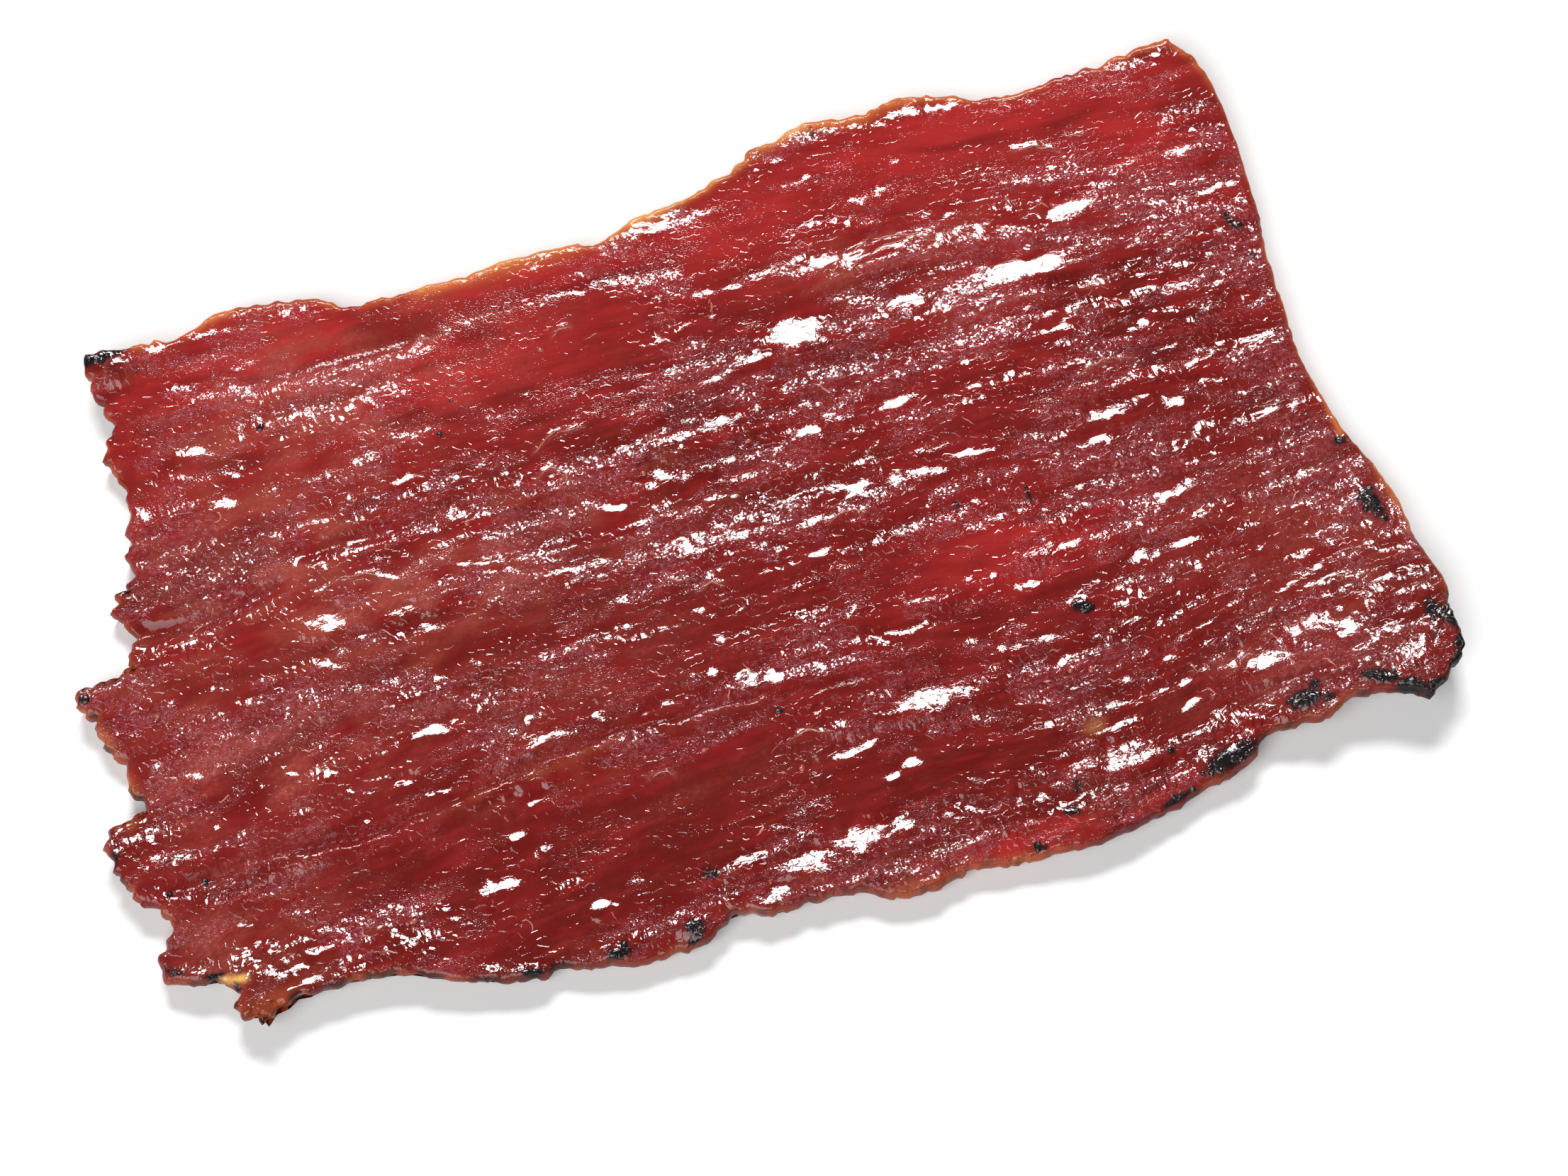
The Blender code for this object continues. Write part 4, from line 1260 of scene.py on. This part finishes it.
@dataclass
class GlazeFilm:
    """Thin strings of glaze film that curled up on the top as they dried."""

    surface: GlazedSlice
    radius: float = 0.15
    swell: Waves = Waves(0.9, 0.9, 51.0, 0.9)
    usual_swell: float = 0.85
    least_swell: float = 0.25
    taper: float = 0.6
    step: float = 0.25
    least_steps: int = 6
    smoothings: int = 6
    wobble: tuple[Waves, Waves] = (Waves(1.2, 1.2, 52.0, 0.35), Waves(1.2, 1.2, 53.0, 0.35))
    proud: float = -0.15
    least_amount: float = 0.18
    loose_count: int = 70
    loose_steps: tuple[int, int] = (4, 11)
    loose_reach: Place = (76.0, 46.0)
    clear: float = 2.0
    seed: int = 47

    def build(self) -> bpy.types.Object:
        """Build every string into one mesh.

        Returns:
            The strings' object, not yet dressed.
        """
        curve = bpy.data.curves.new("glaze_film", "CURVE")
        curve.dimensions = "3D"
        curve.bevel_depth = self.radius * MM
        curve.bevel_resolution = 2
        curve.use_fill_caps = True
        drawn = [self.follow(curl) for curl in FILM_CURLS if curl.amount > self.least_amount]
        for x, y in drawn + self.loose():
            self.add_string(curve, x, y)
        holder = add_object("glaze_film_lines", curve)
        data = bpy.data.meshes.new_from_object(holder)
        mesh = bmesh.new()
        mesh.from_mesh(data)
        bpy.data.objects.remove(holder, do_unlink=True)
        bpy.data.meshes.remove(data)
        bmesh.ops.recalc_face_normals(mesh, faces=mesh.faces)
        return finished_piece(mesh, "glaze_film")

    def add_string(self, curve: bpy.types.Curve, x: Array, y: Array) -> None:
        """Lay one string on the top, thin at its ends.

        Args:
            curve: The curve that the string is added to.
            x: The string's places along the grain, in millimetres.
            y: Its places across the grain.
        """
        distance = self.surface.outline.edge_distance(x, y)
        z = self.surface.top_height(x, y, distance) + self.proud * self.radius
        ends = np.sin(np.linspace(0.12, math.pi - 0.12, len(x))) ** self.taper
        swell = np.maximum(self.least_swell, (self.usual_swell + self.swell.at(x, y)) * ends)
        shift = self.surface.shift()
        line = curve.splines.new("POLY")
        line.points.add(len(x) - 1)
        for k, point in enumerate(line.points):
            point.co = (*(Vector((x[k], y[k], z[k])) * MM + shift), 1.0)
            point.radius = swell[k]

    def follow(self, curl: Stroke) -> tuple[Array, Array]:
        """Places at an even step along a curl, which wobbles a little.

        Args:
            curl: The curl that is followed.

        Returns:
            The places' X and Y in millimetres.
        """
        corners = np.array(curl.path)
        way = np.concatenate(([0.0], np.cumsum(np.linalg.norm(np.diff(corners, axis=0), axis=1))))
        steps = np.linspace(0.0, way[-1], max(self.least_steps, round(way[-1] / self.step)))
        x, y = (np.interp(steps, way, axis) for axis in corners.T)
        for _ in range(self.smoothings):
            for axis in (x, y):
                axis[1:-1] = 0.25 * axis[:-2] + 0.5 * axis[1:-1] + 0.25 * axis[2:]
        wobble_x, wobble_y = (wave.at(x, y) for wave in self.wobble)
        return x + wobble_x, y + wobble_y

    def loose(self) -> list[tuple[Array, Array]]:
        """Short strings that wind roughly along the grain, drawn at random.

        Returns:
            The X and Y in millimetres of each string's places.
        """
        draw = np.random.default_rng(self.seed)
        strings = []
        for _ in range(self.loose_count):
            start_x, start_y = (draw.uniform(-reach, reach) for reach in self.loose_reach)
            count = int(draw.integers(*self.loose_steps))
            heading = draw.normal(0.0, 0.5) + np.cumsum(draw.normal(draw.normal(0.0, 0.12), 0.3, count))
            x = start_x + np.cumsum(self.step * np.cos(heading))
            y = start_y + np.cumsum(self.step * np.sin(heading))
            if self.surface.outline.depth(x, y).min() > self.clear:
                strings.append((x, y))
        return strings


def add_object(name: str, data: bpy.types.ID) -> bpy.types.Object:
    """Add an object at the origin and link it to the scene."""
    made = bpy.data.objects.new(name, data)
    bpy.context.scene.collection.objects.link(made)
    return made


def finished_piece(mesh: bmesh.types.BMesh, name: str) -> bpy.types.Object:
    """Turn a finished mesh into a smooth object at the origin.

    Args:
        mesh: The mesh, which is freed.
        name: The object's name.

    Returns:
        The object, linked to the scene.
    """
    data = bpy.data.meshes.new(name)
    mesh.to_mesh(data)
    mesh.free()
    data.shade_smooth()
    return add_object(name, data)


class Graph:
    """Adds and joins the nodes of one shader tree."""

    def __init__(self, tree: bpy.types.NodeTree) -> None:
        """Keep the tree that nodes are added to."""
        self.tree = tree

    def node(self, kind: str, **settings: object) -> bpy.types.Node:
        """Add a node and set its properties."""
        made = self.tree.nodes.new(kind)
        for name, value in settings.items():
            setattr(made, name, value)
        return made

    def feed(self, socket: bpy.types.NodeSocket, value: Value) -> None:
        """Link a socket, or set it to a plain number, vector or colour."""
        if isinstance(value, bpy.types.NodeSocket):
            self.tree.links.new(value, socket)
        elif isinstance(value, tuple) and socket.type == "RGBA":
            socket.default_value = (*value, 1.0)
        else:
            socket.default_value = value

    def fill(self, node: bpy.types.Node, values: dict[Union[str, int], Value]) -> bpy.types.Node:
        """Feed several of a node's inputs by name or number, and give the node back."""
        for name, value in values.items():
            self.feed(node.inputs[name], value)
        return node

    def maths(self, operation: str, *values: Value, clamp: bool = False) -> bpy.types.NodeSocket:
        """Work on numbers.

        Args:
            operation: The Math node's operation.
            values: Its inputs, in order.
            clamp: Whether the result stays between nought and one.

        Returns:
            The result's socket.
        """
        made = self.node("ShaderNodeMath", operation=operation, use_clamp=clamp)
        return self.fill(made, dict(enumerate(values))).outputs[0]

    def times(self, first: Value, second: Value) -> bpy.types.NodeSocket:
        """Multiply two numbers and keep the product between nought and one."""
        return self.maths("MULTIPLY", first, second, clamp=True)

    def vector_maths(self, operation: str, *values: Value) -> bpy.types.Node:
        """Work on vectors, and give the whole node."""
        made = self.node("ShaderNodeVectorMath", operation=operation)
        return self.fill(made, dict(enumerate(values)))

    def mix(self, share: Value, first: Value, second: Value) -> bpy.types.NodeSocket:
        """Mix the second colour into the first."""
        made = self.node("ShaderNodeMix", data_type="RGBA", clamp_factor=True)
        return self.fill(made, {0: share, 6: first, 7: second}).outputs[2]

    def mask(self, name: str) -> bpy.types.NodeSocket:
        """Read one of the slice's masks."""
        return self.node("ShaderNodeAttribute", attribute_name=name).outputs["Fac"]

    def place(self) -> bpy.types.NodeSocket:
        """Place on the object, in metres."""
        return self.node("ShaderNodeTexCoord").outputs["Object"]

    def spread(self, value: Value, low: float, high: float) -> bpy.types.NodeSocket:
        """Stretch the range from low to high over nought to one."""
        made = self.node("ShaderNodeMapRange")
        return self.fill(made, {"Value": value, "From Min": low, "From Max": high}).outputs[0]

    def bump(self, height: Value, depth: float) -> bpy.types.NodeSocket:
        """Normal of a surface whose height runs up to a depth in metres."""
        made = self.node("ShaderNodeBump")
        return self.fill(made, {"Strength": 1.0, "Distance": depth, "Height": height}).outputs[0]

    def group(self, tree: bpy.types.NodeTree, **values: float) -> bpy.types.NodeSocket:
        """Place a node group with its own values."""
        return self.fill(self.node("ShaderNodeGroup", node_tree=tree), values).outputs[0]


def start_group(name: str, inputs: dict[str, float]) -> Graph:
    """Start a node group with plain numbers as inputs and one value as output.

    Args:
        name: The group's name.
        inputs: The inputs' names and their usual values.

    Returns:
        The group's nodes.
    """
    tree = bpy.data.node_groups.new(name, "ShaderNodeTree")
    for label, value in inputs.items():
        socket = tree.interface.new_socket(label, in_out="INPUT", socket_type="NodeSocketFloat")
        socket.default_value = value
    tree.interface.new_socket("Value", in_out="OUTPUT", socket_type="NodeSocketFloat")
    return Graph(tree)


def start_material(name: str) -> tuple[bpy.types.Material, Graph, bpy.types.Node]:
    """Start a material.

    Args:
        name: The material's name.

    Returns:
        The material, its nodes and its main shader.
    """
    material = bpy.data.materials.new(name)
    material.use_nodes = True
    return material, Graph(material.node_tree), material.node_tree.nodes["Principled BSDF"]


def bent_place(graph: Graph, inside: bpy.types.bpy_prop_collection) -> bpy.types.NodeSocket:
    """Place on the slice, measured in pitches along and across the bent grain.

    Args:
        graph: The group's nodes.
        inside: The group's own inputs, with pitches in millimetres and a layer.

    Returns:
        The place's socket.
    """
    split = graph.fill(graph.node("ShaderNodeSeparateXYZ"), {0: graph.place()}).outputs
    x, z = (graph.maths("DIVIDE", split[k], MM) for k in (0, 2))
    joined = graph.node("ShaderNodeCombineXYZ")
    places = ((x, "Along"), (graph.mask("row"), "Across"), (z, "Across"))
    for socket, (value, pitch) in zip(joined.inputs, places):
        scaled = graph.maths("DIVIDE", value, inside[pitch])
        graph.feed(socket, graph.maths("ADD", scaled, inside["Layer"]))
    return joined.outputs[0]


def grain_noise_group() -> bpy.types.NodeTree:
    """Noise drawn out along the bent grain.

    Returns:
        A node group with the noise's pitch across and along the grain in millimetres, its
        layer and its detail as inputs, and its value as output.
    """
    graph = start_group("grain_noise", {"Across": 1.0, "Along": 5.0, "Layer": 0.0, "Detail": 2.0})
    inside = graph.node("NodeGroupInput").outputs
    place = bent_place(graph, inside)
    settings = {"Vector": place, "Scale": 1.0, "Detail": inside["Detail"], "Roughness": 0.55}
    texture = graph.fill(graph.node("ShaderNodeTexNoise"), settings)
    graph.feed(graph.node("NodeGroupOutput").inputs[0], texture.outputs[0])
    return graph.tree


def tilted_cells_group() -> bpy.types.NodeTree:
    """Small cells of glaze, each tilted its own way.

    Returns:
        A node group with the cells' pitch across and along the grain in millimetres, their
        layer and how softly they join as inputs, and their height in pitches as output.
    """
    inputs = {"Across": 0.6, "Along": 0.9, "Layer": 0.0, "Softness": 0.3}
    graph = start_group("tilted_cells", inputs)
    inside = graph.node("NodeGroupInput").outputs
    place = bent_place(graph, inside)
    cells = graph.node("ShaderNodeTexVoronoi", voronoi_dimensions="2D", feature="SMOOTH_F1")
    graph.fill(cells, {"Scale": 1.0, "Vector": place, "Smoothness": inside["Softness"]})
    off = graph.vector_maths("SUBTRACT", place, cells.outputs["Position"])
    tilt = graph.vector_maths("SUBTRACT", cells.outputs["Color"], (0.5, 0.5, 0.5))
    flat = graph.vector_maths("MULTIPLY", tilt.outputs[0], (1.0, 1.0, 0.0))
    rise = graph.vector_maths("DOT_PRODUCT", off.outputs[0], flat.outputs[0])
    graph.feed(graph.node("NodeGroupOutput").inputs[0], rise.outputs["Value"])
    return graph.tree


@dataclass(frozen=True)
class GrainStreaks:
    """Grain noise with its pitches in millimetres, and the range that becomes nought to one."""

    across: float
    along: float
    layer: float
    detail: float
    low: float = 0.0
    high: float = 1.0


@dataclass(frozen=True)
class MeatFinish:
    """Red meat under a wet sugar glaze, with its browned and charred places."""

    grain_noise: bpy.types.NodeTree
    tilted_cells: bpy.types.NodeTree
    red: Triple = (0.195, 0.010, 0.0095)
    wine: Triple = (0.105, 0.0055, 0.0045)
    scarlet: Triple = (0.360, 0.018, 0.018)
    dusty: Triple = (0.320, 0.064, 0.050)
    brown: Triple = (0.215, 0.036, 0.021)
    # Painted sheen: a lilac haze that stands in for glints too small to model
    lilac_painted_sheen: Triple = (0.250, 0.062, 0.085)
    amber: Triple = (0.50, 0.130, 0.038)
    fat: Triple = (0.70, 0.36, 0.11)
    char: Triple = (0.010, 0.007, 0.008)
    film: Triple = (0.38, 0.12, 0.09)
    thread: GrainStreaks = GrainStreaks(1.0, 5.0, 3.0, 4.0, 0.36, 0.64)
    cloud: GrainStreaks = GrainStreaks(3.0, 6.0, 7.0, 6.0, 0.40, 0.66)
    speck: GrainStreaks = GrainStreaks(0.45, 0.7, 11.0, 3.0, 0.46, 0.70)
    patches: GrainStreaks = GrainStreaks(2.2, 4.5, 13.0, 3.0, 0.40, 0.62)
    finger: GrainStreaks = GrainStreaks(2.6, 0.8, 17.0, 1.0)
    streaks: float = 0.6
    bright_fade: float = -0.4
    dark_least: float = 0.4
    milk: float = 0.12
    milk_least: float = 0.40
    # How strong the painted sheen is, and how much it fades on dark meat
    painted_sheen: float = 0.75
    painted_sheen_fade: float = -0.4
    # How dark the painted shade between the ridges and in the creases is
    valley_shade_share: float = 0.55
    film_share: float = 0.4
    glaze_rough: float = 0.05
    meat_rough: float = 0.41
    meat_patches: float = 0.18
    specular: float = 0.015
    under_wet: float = 0.5
    dry_share: float = 0.92
    coat_ior: float = 1.5
    bump_depth: float = 0.00019
    finger_share: float = 0.8
    speck_share: float = 0.32
    speck_least: float = 0.03

    def noise(self, graph: Graph, size: GrainStreaks) -> bpy.types.NodeSocket:
        """Place the grain noise group with its own values."""
        pitch = {"Across": size.across, "Along": size.along}
        return graph.group(self.grain_noise, **pitch, Layer=size.layer, Detail=size.detail)

    def spread(self, graph: Graph, size: GrainStreaks) -> bpy.types.NodeSocket:
        """Grain noise whose own range is stretched over nought to one."""
        return graph.spread(self.noise(graph, size), size.low, size.high)

    def colour(self, graph: Graph) -> bpy.types.NodeSocket:
        """Mix the colour from the slice's masks and two scales of streaks.

        Args:
            graph: The material's nodes.

        Returns:
            The colour's socket.
        """
        mask, mix, times = graph.mask, graph.mix, graph.times
        thread, cloud, speck = (self.spread(graph, s) for s in (self.thread, self.cloud, self.speck))
        streaks = graph.maths("MULTIPLY_ADD", mask("bright"), self.bright_fade, self.streaks)
        # Scarlet where the bright mask rises; towards the far side that is partly painted light
        base = mix(mask("bright"), self.red, self.scarlet)
        base = mix(times(thread, streaks), base, self.wine)
        # Wine where the dark mask rises; towards the near side that is partly painted shade
        base = mix(times(mask("dark"), graph.maths("ADD", self.dark_least, thread)), base, self.wine)
        base = mix(times(mask("brown"), cloud), base, self.brown)
        milky = graph.maths("ADD", mask("pale"), graph.maths("MULTIPLY", cloud, self.milk))
        grainy = graph.maths("ADD", self.milk_least, times(speck, 1.0 - self.milk_least))
        base = mix(times(milky, grainy), base, self.dusty)
        # Painted sheen: a lilac haze where the glaze dried rough, standing in for glints too small to
        # model, fainter on dark meat
        painted_sheen_strength = graph.maths("MULTIPLY_ADD", mask("dark"), self.painted_sheen_fade, self.painted_sheen)
        base = mix(times(mask("rough"), times(speck, painted_sheen_strength)), base, self.lilac_painted_sheen)
        # Painted shade: darker wine between the ridges and in the creases
        base = mix(times(mask("valley_shade"), self.valley_shade_share), base, self.wine)
        # Amber on the warm strokes and rim: partly the edges' own colour, partly painted glow of light
        # through them
        base = mix(mask("warm"), base, self.amber)
        base = mix(times(mask("film"), self.film_share), base, self.film)
        base = mix(mask("fat"), base, self.fat)
        return mix(mask("char"), base, self.char)

    def height(self, graph: Graph) -> bpy.types.NodeSocket:
        """Fine relief that is too small to model, calmer where the glaze ran smooth."""
        cell = graph.group(self.tilted_cells, Across=0.95, Along=1.0, Layer=1.0)
        finger = self.noise(graph, self.finger)
        plate = graph.maths("MULTIPLY_ADD", finger, self.finger_share, cell)
        plate = graph.maths("MULTIPLY", plate, graph.mask("crisp"))
        speck = graph.group(self.tilted_cells, Across=0.26, Along=0.32, Layer=5.0)
        rough = graph.maths("MULTIPLY_ADD", graph.mask("rough"), self.speck_share, self.speck_least)
        return graph.maths("ADD", plate, graph.maths("MULTIPLY", speck, rough))

    def build(self, name: str) -> bpy.types.Material:
        """Build the material.

        Args:
            name: The material's name.

        Returns:
            The finished material.
        """
        material, graph, shader = start_material(name)
        normal = graph.bump(self.height(graph), self.bump_depth)
        patchy = graph.maths("MULTIPLY", self.spread(graph, self.patches), self.meat_patches)
        wet = graph.maths("SUBTRACT", 1.0, graph.maths("MULTIPLY", graph.mask("under"), self.under_wet))
        dry = graph.maths("MULTIPLY", graph.mask("dry"), self.dry_share)
        graph.fill(shader, {
            "Base Color": self.colour(graph),
            "Normal": normal,
            "Roughness": graph.maths("ADD", patchy, self.meat_rough),
            "Specular IOR Level": self.specular,
            "Coat Normal": normal,
            "Coat Weight": graph.maths("SUBTRACT", wet, dry, clamp=True),
            "Coat Roughness": self.glaze_rough,
            "Coat IOR": self.coat_ior,
        })
        return material


@dataclass(frozen=True)
class CrumbFinish:
    """A small glossy thing whose colour clouds between two tones."""

    first: Triple
    second: Triple
    pitch: float
    rough: float
    gloss_rough: float
    bump_depth: float

    def build(self, name: str) -> bpy.types.Material:
        """Build the material.

        Args:
            name: The material's name.

        Returns:
            The finished material.
        """
        material, graph, shader = start_material(name)
        settings = {"Vector": graph.place(), "Scale": 1.0 / (self.pitch * MM), "Detail": 4.0}
        texture = graph.fill(graph.node("ShaderNodeTexNoise"), settings).outputs[0]
        normal = graph.bump(texture, self.bump_depth)
        graph.fill(shader, {
            "Base Color": graph.mix(graph.spread(texture, 0.35, 0.65), self.first, self.second),
            "Normal": normal,
            "Roughness": self.rough,
            "Specular IOR Level": 0.1,
            "Coat Normal": normal,
            "Coat Weight": 1.0,
            "Coat Roughness": self.gloss_rough,
        })
        return material


BURNT = CrumbFinish((0.006, 0.004, 0.005), (0.020, 0.008, 0.008), 0.7, 0.55, 0.045, 0.0002)
FILM = CrumbFinish((0.26, 0.030, 0.024), (0.50, 0.18, 0.14), 1.6, 0.45, 0.05, 0.0001)
BEADS = CrumbFinish((0.20, 0.018, 0.014), (0.40, 0.10, 0.075), 2.4, 0.45, 0.04, 0.0001)


@dataclass(frozen=True)
class SoftBox:
    """A soft light that hangs off the slice and faces it."""

    name: str
    direction: Triple
    distance: float
    size: tuple[float, float]
    power: float

    def build(self) -> None:
        """Hang the light."""
        light = bpy.data.lights.new(self.name, "AREA")
        light.shape = "RECTANGLE"
        light.size, light.size_y = self.size
        light.energy = self.power
        holder = add_object(self.name, light)
        towards = Vector(self.direction).normalized()
        holder.location = towards * self.distance
        holder.rotation_euler = towards.to_track_quat("Z", "Y").to_euler()


@dataclass
class Studio:
    """Pale floor, soft light and the camera over the slice."""

    floor_width: float = 3.0
    floor_drop: float = 0.0002
    floor_colour: Triple = (0.80, 0.80, 0.80)
    elevation: float = 68.0
    swing: float = 18.878
    distance: float = 0.377
    target: Triple = (0.00537, -0.00891, 0.0022)
    lens: float = 70.0
    sensor: float = 36.0
    key: SoftBox = SoftBox("key_light", (0.17, 0.70, 0.70), 4.0, (1.6, 0.78), 165.0)
    fill: SoftBox = SoftBox("fill_light", (-0.55, -0.50, 0.67), 1.6, (1.6, 1.6), 34.0)
    sky: float = 0.06

    def build(self) -> None:
        """Make the floor, the lights, the sky and the camera."""
        self.add_floor()
        self.key.build()
        self.fill.build()
        world = bpy.data.worlds.new("studio")
        world.use_nodes = True
        graph = Graph(world.node_tree)
        sky = {"Color": (1.0, 1.0, 1.0), "Strength": self.sky}
        graph.fill(world.node_tree.nodes["Background"], sky)
        bpy.context.scene.world = world
        bpy.context.scene.view_settings.view_transform = "Standard"
        self.add_camera()

    def add_floor(self) -> None:
        """Lay the pale floor."""
        mesh = bmesh.new()
        bmesh.ops.create_grid(mesh, x_segments=2, y_segments=2, size=0.5 * self.floor_width)
        bmesh.ops.translate(mesh, vec=(0.0, 0.0, -self.floor_drop), verts=mesh.verts)
        data = bpy.data.meshes.new("pale_floor")
        mesh.to_mesh(data)
        mesh.free()
        material, graph, shader = start_material("pale_floor")
        matt = {"Base Color": self.floor_colour, "Roughness": 0.9, "Specular IOR Level": 0.0}
        graph.fill(shader, matt)
        data.materials.append(material)
        add_object("pale_floor", data)

    def add_camera(self) -> None:
        """Place the camera over the slice's near side, swung a little to its left."""
        data = bpy.data.cameras.new("camera")
        data.lens = self.lens
        data.sensor_width = self.sensor
        data.clip_start = 0.01
        camera = add_object("camera", data)
        a, e = math.radians(self.swing), math.radians(self.elevation)
        back = Vector((-math.sin(a) * math.cos(e), -math.cos(a) * math.cos(e), math.sin(e)))
        camera.location = Vector(self.target) + self.distance * back
        camera.rotation_euler = back.to_track_quat("Z", "Y").to_euler()
        bpy.context.scene.camera = camera


def main() -> None:
    """Build the pieces in order and dress them."""
    logging.basicConfig(level=logging.INFO, format="%(message)s")
    meat = MeatFinish(grain_noise_group(), tilted_cells_group()).build("glazed_meat")
    glazed_slice = GlazedSlice(SliceOutline(), SliceRelief())
    pieces = (
        (glazed_slice.build(), meat),
        (CharCrust(glazed_slice).build(), BURNT.build("burnt_sugar")),
        (GlazeFilm(glazed_slice).build(), FILM.build("glaze_film")),
        (GlazeBeads(glazed_slice).build(), BEADS.build("glaze_beads")),
    )
    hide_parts(SLICE_NODE)
    for piece, material in pieces:
        piece.data.materials.append(material)
        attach(piece, BODY)
        LOG.info("%s: %d faces", piece.name, len(piece.data.polygons))
    Studio().build()


if __name__ == "__main__":
    main()
